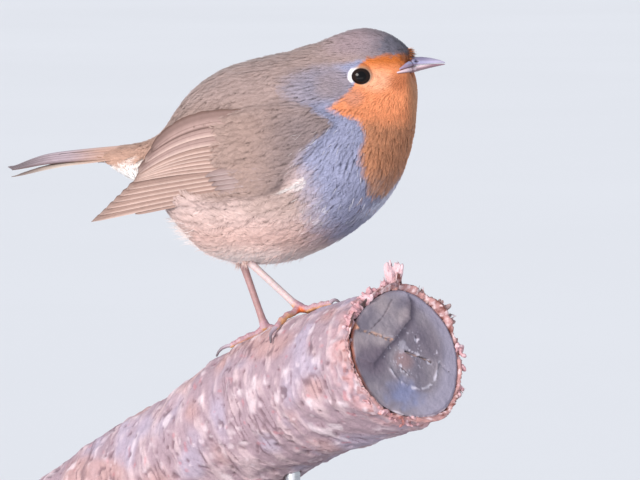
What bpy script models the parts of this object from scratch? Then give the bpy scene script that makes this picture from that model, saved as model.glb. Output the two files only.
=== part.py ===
"""A life-size European robin on a cut branch, held by a plain display stand.

Lengths below are in millimetres and MM turns them into Blender's metres. The bird is
modelled in its own frame, with +X forward, +Y to its left and +Z up, from the point on top
of the branch midway between its feet. The branch has the same zero point but isn't turned.
The world's origin is the middle of the stand's underside.
"""
import math

import bmesh
import bpy
from mathutils import Matrix, Vector

MM = 0.001
GAP = 0.3  # between any two pieces that touch

# ---- where things stand -------------------------------------------------------------
BASE_RADIUS = 65.0
BASE_THICKNESS = 12.0
BASE_BEVEL = 1.6
BASE_SIDES = 36
PERCH_TOP = Vector((14.0, -10.0, 117.0))  # the bird's zero point, in the world
HEADING = math.radians(-10.0)  # the bird is turned this much from world +X

# ---- the body: lines across its side view, from the bill back to the undertail ------
# Each row is (where, top x, top z, under x, under z, half width).
BODY = [
    ("bill base", 41.0, 83.2, 41.2, 75.4, 3.7),
    ("forehead", 39.8, 85.3, 42.0, 73.8, 5.4),
    ("brow", 37.0, 87.8, 42.5, 71.6, 6.9),
    ("forecrown", 32.7, 90.2, 42.6, 69.0, 8.2),
    ("crown", 27.0, 91.5, 42.4, 66.0, 9.0),
    ("hindcrown", 20.8, 90.7, 42.2, 62.8, 9.9),
    ("nape", 14.8, 88.4, 41.9, 59.2, 11.9),
    ("hindneck", 9.0, 86.4, 41.0, 54.9, 15.2),
    ("foot of the neck", 3.0, 84.5, 39.6, 50.4, 19.4),
    ("mantle", -3.8, 82.8, 37.6, 45.2, 22.3),
    ("upper back", -11.0, 81.1, 33.6, 38.2, 24.4),
    ("back", -18.0, 78.8, 26.0, 30.5, 25.6),
    ("lower back", -24.8, 74.9, 14.5, 23.0, 26.0),
    ("rump", -30.3, 69.8, 2.0, 18.2, 25.2),
    ("belly", -34.2, 64.4, -11.0, 17.5, 23.0),
    ("vent", -37.3, 59.6, -22.5, 20.2, 19.6),
    ("uppertail coverts", -40.8, 56.8, -30.4, 27.6, 15.6),
    ("rear flank", -45.5, 55.4, -38.0, 36.4, 11.6),
    ("undertail coverts", -51.0, 54.2, -46.8, 43.0, 8.2),
    ("ends of the undertail coverts", -56.5, 52.0, -55.6, 47.9, 5.2),
]
NECK_START = 6.7  # the head ends here, counted in rows from the first
TRUNK_START = 8.2
STEPS_PER_ROW = 2
RING_POINTS = 24
ROUNDNESS = 2.15  # 2 is an ellipse, more is squarer
LOW_GIRTH = 0.12  # how far below the middle the body is widest, in half heights
CUT_SETBACK = 0.12  # how far each side of a cut through the body stands back, in rows
SIDE_SEARCH_ROUNDS = 30

# ---- the head -----------------------------------------------------------------------
EYE_X, EYE_Z = 26.2, 76.8
EYE_RADIUS = 4.0
EYE_SHOWN_RADIUS = 2.8
EYE_BULGE = 0.3  # how far the shown part's edge stands out of the head

# The bill, from inside the head to its tip: x, top z, gape z, under z, half width.
BILL = [
    (37.0, 81.9, 79.0, 77.2, 2.3),
    (41.2, 82.4, 79.6, 77.6, 2.4),
    (44.0, 82.5, 80.1, 78.4, 1.9),
    (47.0, 82.2, 80.4, 79.2, 1.3),
    (49.6, 81.6, 80.5, 79.8, 0.8),
    (51.4, 80.9, 80.5, 80.2, 0.3),
]
BILL_ARC_POINTS = 7
BILL_EDGE = 0.12  # the least height of half a bill

# ---- the tail -----------------------------------------------------------------------
# x, z of the ridge, half width
TAIL = [
    (-41.6, 56.3, 5.6),
    (-48.2, 54.9, 6.6),
    (-60.9, 53.6, 7.4),
    (-73.6, 52.0, 8.2),
    (-80.4, 50.1, 8.7),
    (-85.9, 48.4, 8.9),
]
TAIL_THICKNESS = 1.7
TAIL_EDGE_DROP = 3.2  # the sides slope down like a roof, less so at the end
TAIL_END_FLATTER = 0.4  # the share of that slope that the end loses
TAIL_EDGE_THIN = 0.35  # the share of its thickness that the tail loses at each side, from above and below
TAIL_NOTCH = 2.4  # how much shorter the middle feathers are
TAIL_END_SHARE = 0.7  # where along the tail the notch begins
TAIL_SLICES = [-1.0, -0.6, -0.2, 0.2, 0.6, 1.0]
TAIL_STEPS_PER_ROW = 3

# ---- the wings: top edge x, z and bottom edge x, z, from the bend of the wing back --
WING = [
    (20.4, 63.4, 19.9, 60.8),
    (17.2, 66.0, 15.6, 56.6),
    (11.0, 67.8, 9.5, 50.4),
    (4.5, 68.5, 4.8, 44.2),
    (-3.0, 67.8, -1.0, 40.6),
    (-10.0, 66.2, -8.0, 39.9),
    (-17.2, 64.5, -14.5, 38.6),
    (-24.0, 62.4, -21.5, 37.4),
    (-30.5, 59.3, -28.0, 36.8),
    (-36.0, 54.8, -34.5, 36.0),
    (-40.5, 49.3, -41.0, 34.4),
    (-45.5, 42.6, -47.0, 32.8),
    (-51.0, 36.6, -52.0, 31.6),
    (-57.4, 31.2, -57.6, 30.2),
]
WING_ACROSS = 7
WING_RINGS = 20
WING_LIFT = 1.2  # how far the wing stands above the flank
WING_THICKNESS = 2.0
WING_EDGE = 0.8
WING_FREE_X = -27.0  # where the wing leaves the body
WING_FREE_SIDE = 20.5  # its distance from the midline there
WING_TIP_SIDE = 11.0
WING_LEAN = 0.32  # how far the top edge leans in, for each mm of the wing's depth
WING_FLARE = 0.5  # how fast the free part would spread further forward
WING_BLEND = 1.5  # how wide the change from the flank to the free part is
WING_TIP_THIN = 0.5  # the share of its thickness that the wing loses at its tip
WING_ROOM = 3.0  # how far the room for the wing is open outward

# ---- the branch: x, y, z of its axis from the cut face back -------------------------
BRANCH = [
    (37.7, -50.0, -6.4),
    (0.0, 0.0, -26.0),
    (-24.5, 29.0, -46.0),
    (-66.0, 72.0, -76.5),
]
CUT_NORMAL = Vector((0.573, -0.743, 0.345)).normalized()
BRANCH_RADIUS = 22.0
BRANCH_LENGTH = 180.0
BRANCH_SWELL = 0.008  # radius gained for each mm of length
BARK_THICKNESS = 1.9
BARK_CRACK = 0.6  # dry bark stands off the wood
# The bark's swells: height, how many round the branch, turn for each mm along it, and start
BARK_LUMPS = [(0.45, 3, 0.06, 0.0), (0.30, 5, -0.11, 1.0)]
RIM_SHARE = 0.035  # how far along the branch its torn rim begins
RIM_FORWARD = 0.6  # how far the bark stands forward of the wood all round
RIM_THICKNESS = 1.1
BRANCH_SIDES = 24
BRANCH_RINGS = 10

# Torn bark at the cut: angle round the face from the top, degrees wide, forward, outward
BARK_TEARS = [
    (4.0, 17.0, 4.2, 5.2),
    (-62.0, 26.0, 3.0, 3.6),
    (-22.0, 20.0, 1.4, 1.2),
    (45.0, 30.0, 2.2, 0.8),
    (-110.0, 30.0, 2.0, 1.6),
    (165.0, 40.0, 1.6, 0.8),
]

# ---- the legs and feet --------------------------------------------------------------
# For each side: heel (bird frame) and the ball of the foot (x, y over the branch).
HEEL = {"right": (-8.6, -8.5, 19.6), "left": (-13.9, 8.5, 17.6)}
BALL = {"right": (7.0, -13.2), "left": (-6.0, 8.0)}
BALL_RADIUS = 1.7
TARSUS_RADII = [1.15, 1.0, 0.95, 0.95, 1.05, 1.35, BALL_RADIUS, 1.2]
THIGH_RADII = [4.2, 4.4, 3.6, 1.7]
THIGH_SHARES = [0.0, 0.35, 0.7]
THIGH_END_RISE = 0.5  # how far over the heel the thigh ends
KNEE_FROM_HEEL = Vector((5.0, 0.0, 11.0))
TARSUS_SHARES = [0.0, 0.2, 0.45, 0.7, 0.85, 0.93]
TARSUS_TOP_DROP = 1.0  # how far under the heel the tarsus begins
TARSUS_END = 0.5  # how far it goes past the middle of the ball
TARSUS_IN_THIGH = 3  # how many of its points lie inside the feathers
TOE_START = 3.1  # from the middle of the ball

# Each toe: plan direction in degrees from world +X, length, claw length
TOES = {
    "right": {
        "hallux": (-140.0, 8.8, 6.4),
        "inner": (33.0, 8.0, 4.2),
        "middle": (-2.0, 11.6, 4.6),
        "outer": (-38.0, 8.8, 4.2),
    },
    "left": {
        "hallux": (176.0, 8.6, 6.4),
        "inner": (-18.0, 8.0, 4.2),
        "middle": (18.0, 11.6, 4.6),
        "outer": (54.0, 8.8, 4.2),
    },
}
TOE_RADII = [0.8, 0.85, 1.0, 0.8, 0.98, 0.78, 0.85]
CLAW_RADII = [0.62, 0.56, 0.47, 0.36, 0.25]
CLAW_ARCH = 0.9
CLAW_SEAT = 0.6  # from the end of the toe
STRIDE = 0.4  # the step in which a toe's line follows the bark

# ---- the stand ----------------------------------------------------------------------
ROD_RADIUS = 2.5
ROD_PLACES = {"front": 0.30, "back": 0.80}  # how far along the branch each rod stands
ROD_DEPTH = 8.0  # how far a rod goes into the branch
ROD_SEAT = 6.0  # and into the base

for old in list(bpy.data.objects):
    bpy.data.objects.remove(old, do_unlink=True)

robin_parts = bpy.data.collections.new("Robin on a branch")
cutters = bpy.data.collections.new("Cutters")
bpy.context.scene.collection.children.link(robin_parts)
bpy.context.scene.collection.children.link(cutters)


# ---- helpers ------------------------------------------------------------------------
def material(name, colour, roughness, metallic=0.0):
    """A plain Principled material."""
    made = bpy.data.materials.new(name)
    made.use_nodes = True
    shader = made.node_tree.nodes["Principled BSDF"]
    shader.inputs["Base Color"].default_value = (*colour, 1.0)
    shader.inputs["Roughness"].default_value = roughness
    shader.inputs["Metallic"].default_value = metallic
    return made


def empty(name, location, turn=0.0):
    """A frame for other objects, which isn't a part itself."""
    made = bpy.data.objects.new(name, None)
    made.location = location * MM
    made.rotation_euler = (0.0, 0.0, turn)
    robin_parts.objects.link(made)
    return made


def place(obj, parent, look=None, cutter=False):
    """Puts an object in its collection, under its frame, with its material."""
    (cutters if cutter else robin_parts).objects.link(obj)
    obj.parent = parent
    if look is not None:
        obj.data.materials.append(look)
    if cutter:
        obj.hide_render = True
        obj.display_type = "WIRE"
    return obj


def smooth(obj, angle=40.0):
    """Shades the faces of a mesh smooth, with sharp edges over an angle."""
    obj.data.shade_smooth()
    obj.data.set_sharp_from_angle(angle=math.radians(angle))


def along(rows, t):
    """The point at t on a smooth curve through rows of numbers, one row for each whole t."""
    last = len(rows) - 1
    t = min(max(t, 0.0), float(last))
    i = min(int(t), last - 1)
    f = t - i
    before = rows[i - 1] if i > 0 else [2 * a - b for a, b in zip(rows[0], rows[1])]
    after = rows[i + 2] if i + 2 <= last else [2 * a - b for a, b in zip(rows[-1], rows[-2])]
    return [
        0.5 * (2 * b + (c - a) * f + (2 * a - 5 * b + 4 * c - d) * f * f + (3 * b - a - 3 * c + d) * f**3)
        for a, b, c, d in zip(before, rows[i], rows[i + 1], after)
    ]


def loft(name, rings, parent, look=None, cutter=False, hollow=False):
    """Joins rings of points to one closed solid, with flat ends, or end to end if hollow."""
    bm = bmesh.new()
    loops = [[bm.verts.new(Vector(p) * MM) for p in ring] for ring in rings]
    pairs = list(zip(loops, loops[1:] + loops[:1] if hollow else loops[1:]))
    for one, two in pairs:
        for k in range(len(one)):
            bm.faces.new((one[k - 1], one[k], two[k], two[k - 1]))
    if not hollow:
        bm.faces.new(loops[0])
        bm.faces.new(loops[-1])
    bmesh.ops.recalc_face_normals(bm, faces=bm.faces)
    mesh = bpy.data.meshes.new(name)
    bm.to_mesh(mesh)
    bm.free()
    obj = place(bpy.data.objects.new(name, mesh), parent, look, cutter)
    smooth(obj)
    return obj


def tube(name, points, radii, parent, look=None, cutter=False, sides_level=2):
    """A round solid along a line of points, with a radius at each."""
    curve = bpy.data.curves.new(name, "CURVE")
    curve.dimensions = "3D"
    curve.bevel_depth = MM
    curve.bevel_resolution = sides_level
    curve.use_fill_caps = True
    spline = curve.splines.new("POLY")
    spline.points.add(len(points) - 1)
    for slot, point, radius in zip(spline.points, points, radii):
        slot.co = (*(Vector(point) * MM), 1.0)
        slot.radius = radius
    return place(bpy.data.objects.new(name, curve), parent, look, cutter)


def tube_mesh(name, points, radii, parent, look=None, cutter=False, sides_level=3):
    """The same as a closed mesh, for a piece that is cut or that cuts."""
    line = tube(name + "_line", points, radii, parent, cutter=cutter, sides_level=sides_level)
    bpy.context.view_layer.update()
    mesh = bpy.data.meshes.new_from_object(line.evaluated_get(bpy.context.evaluated_depsgraph_get()))
    bm = bmesh.new()
    bm.from_mesh(mesh)
    bmesh.ops.remove_doubles(bm, verts=bm.verts, dist=1e-6)
    bmesh.ops.recalc_face_normals(bm, faces=bm.faces)
    bm.to_mesh(mesh)
    bm.free()
    bpy.data.objects.remove(line)
    mesh.materials.clear()
    return place(bpy.data.objects.new(name, mesh), parent, look, cutter)


def ball(name, centre, radius, parent, look=None, cutter=False):
    """A sphere, from Blender's own."""
    bm = bmesh.new()
    bmesh.ops.create_uvsphere(bm, u_segments=16, v_segments=8, radius=radius * MM)
    mesh = bpy.data.meshes.new(name)
    bm.to_mesh(mesh)
    bm.free()
    obj = place(bpy.data.objects.new(name, mesh), parent, look, cutter)
    obj.location = Vector(centre) * MM
    obj.rotation_euler = (math.pi / 2, 0.0, 0.0)
    mesh.shade_smooth()
    return obj


def rod(name, foot, top, radius, look=None, cutter=False, bevel=0.0, sides=16):
    """An upright cylinder in the world, from Blender's own."""
    bm = bmesh.new()
    height = (top - foot.z) * MM
    bmesh.ops.create_cone(
        bm, cap_ends=True, segments=sides, radius1=radius * MM, radius2=radius * MM, depth=height
    )
    mesh = bpy.data.meshes.new(name)
    bm.to_mesh(mesh)
    bm.free()
    obj = place(bpy.data.objects.new(name, mesh), None, look, cutter)
    obj.location = Vector((foot.x, foot.y, (foot.z + top) / 2)) * MM
    if bevel:
        rounding = obj.modifiers.new("Rounded edge", "BEVEL")
        rounding.width = bevel * MM
        rounding.segments = 1
        rounding.limit_method = "ANGLE"
    smooth(obj)
    return obj


def carve(target, *tools):
    """Cuts each tool's shape out of the target."""
    for tool in tools:
        cut = target.modifiers.new("Room for " + tool.name, "BOOLEAN")
        cut.operation = "DIFFERENCE"
        cut.solver = "EXACT"
        cut.object = tool


# ---- the body's shape ---------------------------------------------------------------
def across(t):
    """The line across the body's side view at t: its top, its underside and its half width."""
    top_x, top_z, under_x, under_z, half_width = along([row[1:] for row in BODY], t)
    return Vector((top_x, 0.0, top_z)), Vector((under_x, 0.0, under_z)), half_width


def body_ring(t):
    """The body's outline in the slanted plane through across(t)."""
    top, under, half_width = across(t)
    middle = (top + under) / 2
    up = (top - under) / 2
    ring = []
    for k in range(RING_POINTS):
        turn = 2 * math.pi * k / RING_POINTS
        rise = math.copysign(abs(math.cos(turn)) ** (2 / ROUNDNESS), math.cos(turn))
        side = math.copysign(abs(math.sin(turn)) ** (2 / ROUNDNESS), math.sin(turn))
        lowered = rise - LOW_GIRTH * (1 - rise * rise)
        ring.append(middle + up * lowered + Vector((0.0, half_width * side, 0.0)))
    return ring


def body_side(x, z):
    """The body's half width at a place in its side view, and 0 outside it."""
    low, high = 0.0, float(len(BODY) - 1)
    for _ in range(SIDE_SEARCH_ROUNDS):
        t = (low + high) / 2
        top, under, _width = across(t)
        if (under.x - top.x) * (z - top.z) - (under.z - top.z) * (x - top.x) < 0:
            low = t
        else:
            high = t
    top, under, half_width = across((low + high) / 2)
    up = (top - under) / 2
    lowered = (Vector((x, 0.0, z)) - (top + under) / 2).dot(up) / up.length_squared
    if abs(lowered) >= 1:
        return 0.0
    rise = (math.sqrt(1 + 4 * LOW_GIRTH * (LOW_GIRTH + lowered)) - 1) / (2 * LOW_GIRTH)
    return half_width * max(0.0, 1 - abs(rise) ** ROUNDNESS) ** (1 / ROUNDNESS)


def body_piece(name, start, end, parent, look):
    """A length of the body, between two rows of BODY. A cut end stands back a little."""
    first = start + (CUT_SETBACK if start > 0 else 0.0)
    last = end - (CUT_SETBACK if end < len(BODY) - 1 else 0.0)
    count = round((end - start) * STEPS_PER_ROW)
    rings = [body_ring(first + (last - first) * k / count) for k in range(count + 1)]
    return loft(name, rings, parent, look)


# ---- the head's pieces --------------------------------------------------------------
def eye_centre(side):
    """The middle of an eyeball, so that the shown part has the right width."""
    depth = math.sqrt(EYE_RADIUS**2 - EYE_SHOWN_RADIUS**2)
    return (EYE_X, side * (body_side(EYE_X, EYE_Z) - depth + EYE_BULGE), EYE_Z)


def bill_rings(part, grow=0.0):
    """Outlines along the upper or lower half of the bill, or the whole of it."""
    rings = []
    for x, top, gape, under, half_width in BILL:
        if part == "whole":
            start, turn = 0.0, 2 * math.pi
            count = 2 * BILL_ARC_POINTS
        else:
            start, turn = (0.0, math.pi) if part == "upper" else (math.pi, math.pi)
            count = BILL_ARC_POINTS
        ring = []
        for k in range(count):
            angle = start + turn * k / (count if part == "whole" else count - 1)
            height = (top - gape) if math.sin(angle) >= 0 else (gape - under)
            lift = 0.0 if part == "whole" else math.copysign(GAP / 2, 1 if part == "upper" else -1)
            rise = max(height + grow - abs(lift), BILL_EDGE) * math.sin(angle)
            ring.append((x, (half_width + grow) * math.cos(angle), gape + lift + rise))
        rings.append(ring)
    return rings


# ---- the tail and wings -------------------------------------------------------------
def tail_rings(grow=0.0):
    """Roof-shaped outlines along the tail, notched at its end."""
    rings = []
    count = TAIL_STEPS_PER_ROW * (len(TAIL) - 1)
    for k in range(count + 1):
        x, ridge, half_width = along(TAIL, k * (len(TAIL) - 1) / count)
        near_end = max(0.0, (k / count - TAIL_END_SHARE) / (1 - TAIL_END_SHARE))
        wide = half_width + grow
        upper = []
        lower = []
        for s in TAIL_SLICES:
            forward = TAIL_NOTCH * (1 - abs(s)) * near_end
            drop = TAIL_EDGE_DROP * (1 - TAIL_END_FLATTER * near_end) * abs(s) ** 1.6
            edge = TAIL_EDGE_THIN * TAIL_THICKNESS * s * s
            reach = grow * (1 if k == 0 else 0)
            upper.append((x + forward + reach, wide * s, ridge - drop - edge + grow))
            lower.append((x + forward + reach, wide * s, ridge - drop - TAIL_THICKNESS + edge - grow))
        rings.append(upper + lower[::-1])
    return rings


def smooth_max(a, b, blend):
    """The larger of two numbers, rounded where they cross."""
    return 0.5 * (a + b + math.sqrt((a - b) ** 2 + blend**2))


def wing_side(x, z, up, depth):
    """How far from the midline the wing's outer face is. It hugs the body, then runs free."""
    if x > WING_FREE_X:
        free = WING_FREE_SIDE - WING_FLARE * (x - WING_FREE_X)
    else:
        free_length = WING_FREE_X - WING[-1][0]
        free = WING_FREE_SIDE + (WING_TIP_SIDE - WING_FREE_SIDE) * (WING_FREE_X - x) / free_length
    free -= WING_LEAN * depth * up
    return smooth_max(body_side(x, z) + WING_LIFT, free, WING_BLEND)


def wing_rings(side, grow=0.0, lid=0.0):
    """Outlines across the folded wing, from the bend to the tip."""
    rings = []
    for k in range(WING_RINGS + 1):
        top_x, top_z, low_x, low_z = along(WING, k * (len(WING) - 1) / WING_RINGS)
        ends = -grow if k == WING_RINGS else grow if k == 0 else 0.0
        top = Vector((top_x + ends, 0.0, top_z + grow))
        low = Vector((low_x + ends, 0.0, low_z - grow))
        outer = []
        inner = []
        thin = 1 - WING_TIP_THIN * (k / WING_RINGS) ** 2
        for j in range(WING_ACROSS):
            up = j / (WING_ACROSS - 1)
            point = low.lerp(top, up)
            reach = wing_side(point.x, point.z, up, (top - low).length)
            bulge = math.sin(math.pi * up)
            thick = (WING_EDGE + (WING_THICKNESS - WING_EDGE) * bulge) * thin
            outer.append((point.x, side * (reach + lid), point.z))
            inner.append((point.x, side * (reach - thick - grow), point.z))
        rings.append(outer + inner[::-1])
    return rings


# ---- the branch ---------------------------------------------------------------------
AXIS_SAMPLES = 90
AXIS = [Vector(along(BRANCH, (len(BRANCH) - 1) * k / AXIS_SAMPLES)) for k in range(AXIS_SAMPLES + 1)]


def branch_frame(share):
    """The axis point, its direction back along the branch and two directions across it."""
    at = share * AXIS_SAMPLES
    i = min(int(at), AXIS_SAMPLES - 1)
    centre = AXIS[i].lerp(AXIS[i + 1], at - i)
    back = (AXIS[min(i + 2, AXIS_SAMPLES)] - AXIS[max(i - 1, 0)]).normalized()
    sideways = back.cross(Vector((0.0, 0.0, 1.0))).normalized()
    return centre, back, sideways.cross(back).normalized(), sideways


def bark_radius(share, angle):
    """The bark's outer radius, with its slow swells and hollows."""
    length = share * BRANCH_LENGTH
    radius = BRANCH_RADIUS + BRANCH_SWELL * length
    for height, count, twist, start in BARK_LUMPS:
        radius += height * math.sin(count * angle + twist * length + start)
    return radius


def branch_ring(share, inset, square_cut=False, reach=None):
    """A ring round the branch. At the front it lies in the slanting plane of the cut."""
    centre, back, up, sideways = branch_frame(share)
    ring = []
    for k in range(BRANCH_SIDES):
        angle = 2 * math.pi * k / BRANCH_SIDES
        out = up * math.cos(angle) + sideways * math.sin(angle)
        forward, outward = reach(angle) if reach else (0.0, 0.0)
        point = centre + out * (bark_radius(share, angle) - inset + outward)
        if square_cut:
            point -= back * ((point - centre).dot(CUT_NORMAL) / back.dot(CUT_NORMAL))
        ring.append(point - back * forward)
    return ring


def tear(angle):
    """How far the torn bark reaches forward and outward at an angle round the cut."""
    forward = outward = 0.0
    for middle, width, ahead, out in BARK_TEARS:
        apart = (math.degrees(angle) - middle + 180.0) % 360.0 - 180.0
        share = max(0.0, 1 - abs(apart) / width)
        forward = max(forward, ahead * share)
        outward = max(outward, out * share)
    return forward + RIM_FORWARD, outward


def on_branch(point, height):
    """The nearest place at a height over the bark."""
    near = min(range(AXIS_SAMPLES + 1), key=lambda i: (AXIS[i] - point).length_squared)
    centre, back, up, sideways = branch_frame(near / AXIS_SAMPLES)
    out = point - centre
    out -= back * out.dot(back)
    angle = math.atan2(out.dot(sideways), out.dot(up))
    foot = centre + back * (point - centre).dot(back)
    return foot + out.normalized() * (bark_radius(near / AXIS_SAMPLES, angle) + height)


def walk(start, direction, distances, heights):
    """Points over the bark, at distances along a path that follows it."""
    points = []
    here = start
    heading = direction
    done = 0.0
    for distance, height in zip(distances, heights):
        steps = max(1, round((distance - done) / STRIDE))
        for _ in range(steps):
            ahead = on_branch(here + heading * (distance - done) / steps, height)
            if distance > done:
                heading = (ahead - here).normalized()
            here = ahead
        done = distance
        points.append(here.copy())
    return points


# ---- build: frames and materials ----------------------------------------------------
robin = empty("robin_frame", PERCH_TOP, HEADING)
branch = empty("branch_frame", PERCH_TOP)
to_bird = Matrix.Rotation(-HEADING, 3, "Z")

brown = material("Brown feathers", (0.30, 0.22, 0.16), 0.9)
orange = material("Orange feathers", (0.75, 0.22, 0.05), 0.9)
buff = material("Buff feathers", (0.72, 0.58, 0.48), 0.9)
wing_brown = material("Wing feathers", (0.34, 0.22, 0.16), 0.8)
eye_black = material("Eye", (0.01, 0.008, 0.008), 0.05)
horn = material("Bill horn", (0.20, 0.17, 0.20), 0.4)
leg_pink = material("Leg skin", (0.55, 0.33, 0.28), 0.55)
claw_grey = material("Claw", (0.35, 0.28, 0.28), 0.4)
bark_pink = material("Bark", (0.42, 0.30, 0.30), 0.9)
cut_wood = material("Cut wood", (0.25, 0.23, 0.28), 0.85)
stand_black = material("Stand base", (0.05, 0.045, 0.04), 0.5)
stand_steel = material("Stand rods", (0.55, 0.55, 0.56), 0.3, 1.0)

# ---- build: body --------------------------------------------------------------------
head = body_piece("head", 0, NECK_START, robin, orange)
neck = body_piece("neck", NECK_START, TRUNK_START, robin, brown)
trunk = body_piece("trunk", TRUNK_START, len(BODY) - 1, robin, buff)

carve(head, loft("bill_room", bill_rings("whole", GAP), robin, cutter=True))
for part in ("upper", "lower"):
    loft("bill_" + part, bill_rings(part), robin, horn)

tail = loft("tail", tail_rings(), robin, wing_brown)
carve(trunk, loft("tail_room", tail_rings(GAP), robin, cutter=True))

for name, side in (("right", -1), ("left", 1)):
    ball("eye_" + name, eye_centre(side), EYE_RADIUS, robin, eye_black)
    carve(head, ball("eye_room_" + name, eye_centre(side), EYE_RADIUS + GAP, robin, cutter=True))
    loft("wing_" + name, wing_rings(side), robin, wing_brown)
    carve(trunk, loft("wing_room_" + name, wing_rings(side, GAP, WING_ROOM), robin, cutter=True))

# ---- build: legs and feet -----------------------------------------------------------
for name in ("right", "left"):
    heel = Vector(HEEL[name])
    knee = heel + KNEE_FROM_HEEL
    thigh_line = [knee.lerp(heel, s) for s in THIGH_SHARES] + [heel + Vector((0.0, 0.0, THIGH_END_RISE))]
    tube("thigh_" + name, thigh_line, THIGH_RADII, robin, buff, sides_level=3)
    grown = [radius + GAP for radius in THIGH_RADII]
    room_end = thigh_line[-1] - Vector((0.0, 0.0, GAP))
    room_line = thigh_line[:-1] + [room_end]
    carve(trunk, tube_mesh("thigh_room_" + name, room_line, grown, robin, cutter=True))

    over = Vector((*BALL[name], 0.0))
    ball_centre = on_branch(over, BALL_RADIUS + GAP)
    foot = to_bird @ ball_centre
    top = heel - Vector((0.0, 0.0, TARSUS_TOP_DROP))
    end = foot + (foot - top).normalized() * TARSUS_END
    line = [top.lerp(foot, s) for s in TARSUS_SHARES] + [foot, end]
    tube("tarsus_" + name, line, TARSUS_RADII, robin, leg_pink, sides_level=3)
    upper_radii = [radius + GAP for radius in TARSUS_RADII[:TARSUS_IN_THIGH]]
    upper_line = line[:TARSUS_IN_THIGH]
    carve(trunk, tube_mesh("tarsus_room_" + name, upper_line, upper_radii, robin, cutter=True))

    for toe, (bearing, length, claw_length) in TOES[name].items():
        turn = math.radians(bearing)
        direction = Vector((math.cos(turn), math.sin(turn), 0.0))
        start = on_branch(ball_centre + direction * TOE_START, TOE_RADII[0] + GAP)
        stops = [length * k / (len(TOE_RADII) - 1) for k in range(len(TOE_RADII))]
        heights = [radius + GAP for radius in TOE_RADII]
        toe_line = walk(start, direction, stops, heights)
        tube(f"toe_{toe}_{name}", [to_bird @ p for p in toe_line], TOE_RADII, robin, leg_pink)

        onward = (toe_line[-1] - toe_line[-2]).normalized()
        shares = [k / (len(CLAW_RADII) - 1) for k in range(len(CLAW_RADII))]
        stops = [claw_length * s for s in shares]
        root, tip = TOE_RADII[-1], CLAW_RADII[-1]
        heights = [GAP + root + (tip - root) * s + CLAW_ARCH * math.sin(math.pi * s) for s in shares]
        claw_line = walk(toe_line[-1] + onward * CLAW_SEAT, onward, stops, heights)
        claw_points = [to_bird @ p for p in claw_line]
        tube(f"claw_{toe}_{name}", claw_points, CLAW_RADII, robin, claw_grey, sides_level=1)

# ---- build: branch ------------------------------------------------------------------
shares = [k / (BRANCH_RINGS - 1) for k in range(BRANCH_RINGS)]
wood_rings = [branch_ring(s, BARK_THICKNESS + BARK_CRACK, square_cut=(s == 0)) for s in shares]
wood = loft("perch_wood", wood_rings, branch, cut_wood)
outer = [branch_ring(0.0, 0.0, True, tear)]
outer += [branch_ring(s, 0.0) for s in [RIM_SHARE] + shares[1:]]
inner = [branch_ring(s, BARK_THICKNESS, square_cut=(s == 0)) for s in shares[::-1]]
inner += [branch_ring(0.0, RIM_THICKNESS, True, tear)]
bark = loft("perch_bark", outer + inner, branch, bark_pink, hollow=True)

# ---- build: stand -------------------------------------------------------------------
floor_point = Vector((0.0, 0.0, 0.0))
base = rod("stand_base", floor_point, BASE_THICKNESS, BASE_RADIUS, stand_black, False, BASE_BEVEL, BASE_SIDES)
for name, share in ROD_PLACES.items():
    centre, back, up, sideways = branch_frame(share)
    place_over = PERCH_TOP + centre
    under = place_over.z - bark_radius(share, math.pi) / up.z
    seat = Vector((place_over.x, place_over.y, BASE_THICKNESS - ROD_SEAT))
    rod("stand_rod_" + name, seat, under + ROD_DEPTH, ROD_RADIUS, stand_steel)
    hole_foot = seat - Vector((0.0, 0.0, GAP))
    hole = rod("rod_room_" + name, hole_foot, under + ROD_DEPTH + GAP, ROD_RADIUS + GAP, cutter=True)
    carve(base, hole)
    carve(bark, hole)
    carve(wood, hole)
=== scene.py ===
"""The looks of the robin on its cut branch and display stand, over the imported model.

The bird is worked out in its own frame, in millimetres: +X forward, +Y to its left, +Z up,
from the point on top of the branch midway between its feet. to_world() turns such places
into Blender's metres. One skin covers head, neck, trunk and thighs. Over it lie the small
feathers of the body, each a fan of thin closed barbs, and the flight feathers, each a vane.
"""
import math

import bmesh
import bpy
import numpy as np
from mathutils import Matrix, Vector
from mathutils.bvhtree import BVHTree


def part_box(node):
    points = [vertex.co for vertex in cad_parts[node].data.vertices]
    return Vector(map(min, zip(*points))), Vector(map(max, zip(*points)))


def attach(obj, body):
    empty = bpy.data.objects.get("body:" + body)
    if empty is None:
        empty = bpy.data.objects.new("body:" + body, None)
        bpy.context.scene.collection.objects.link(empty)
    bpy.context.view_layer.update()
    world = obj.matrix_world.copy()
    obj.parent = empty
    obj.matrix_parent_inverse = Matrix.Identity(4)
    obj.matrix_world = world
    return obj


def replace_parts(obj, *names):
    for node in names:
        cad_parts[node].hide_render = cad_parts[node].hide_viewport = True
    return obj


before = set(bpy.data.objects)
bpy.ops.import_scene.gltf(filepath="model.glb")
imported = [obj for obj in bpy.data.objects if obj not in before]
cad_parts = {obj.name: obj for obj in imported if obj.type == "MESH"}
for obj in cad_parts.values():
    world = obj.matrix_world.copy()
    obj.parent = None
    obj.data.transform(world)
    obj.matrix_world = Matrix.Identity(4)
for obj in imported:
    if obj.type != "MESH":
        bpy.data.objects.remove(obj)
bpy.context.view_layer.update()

SIDES = {"right": -1, "left": 1}
MM = 0.001
rng = np.random.default_rng(20)


# ---- the bird's frame ---------------------------------------------------------------
EYE_PLACE = np.array((26.2, 0.0, 76.8))  # midway between the eyes


def middle(node):
    """The middle of a node's box, in metres."""
    low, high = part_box(node)
    return (Vector(low) + Vector(high)) / 2


TO_LEFT = (middle("eye_left") - middle("eye_right")).normalized()
AXES = np.array([TO_LEFT.cross(Vector((0, 0, 1))), TO_LEFT, (0, 0, 1)])
ZERO = np.array((middle("eye_left") + middle("eye_right")) / 2) / MM - EYE_PLACE @ AXES


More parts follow.
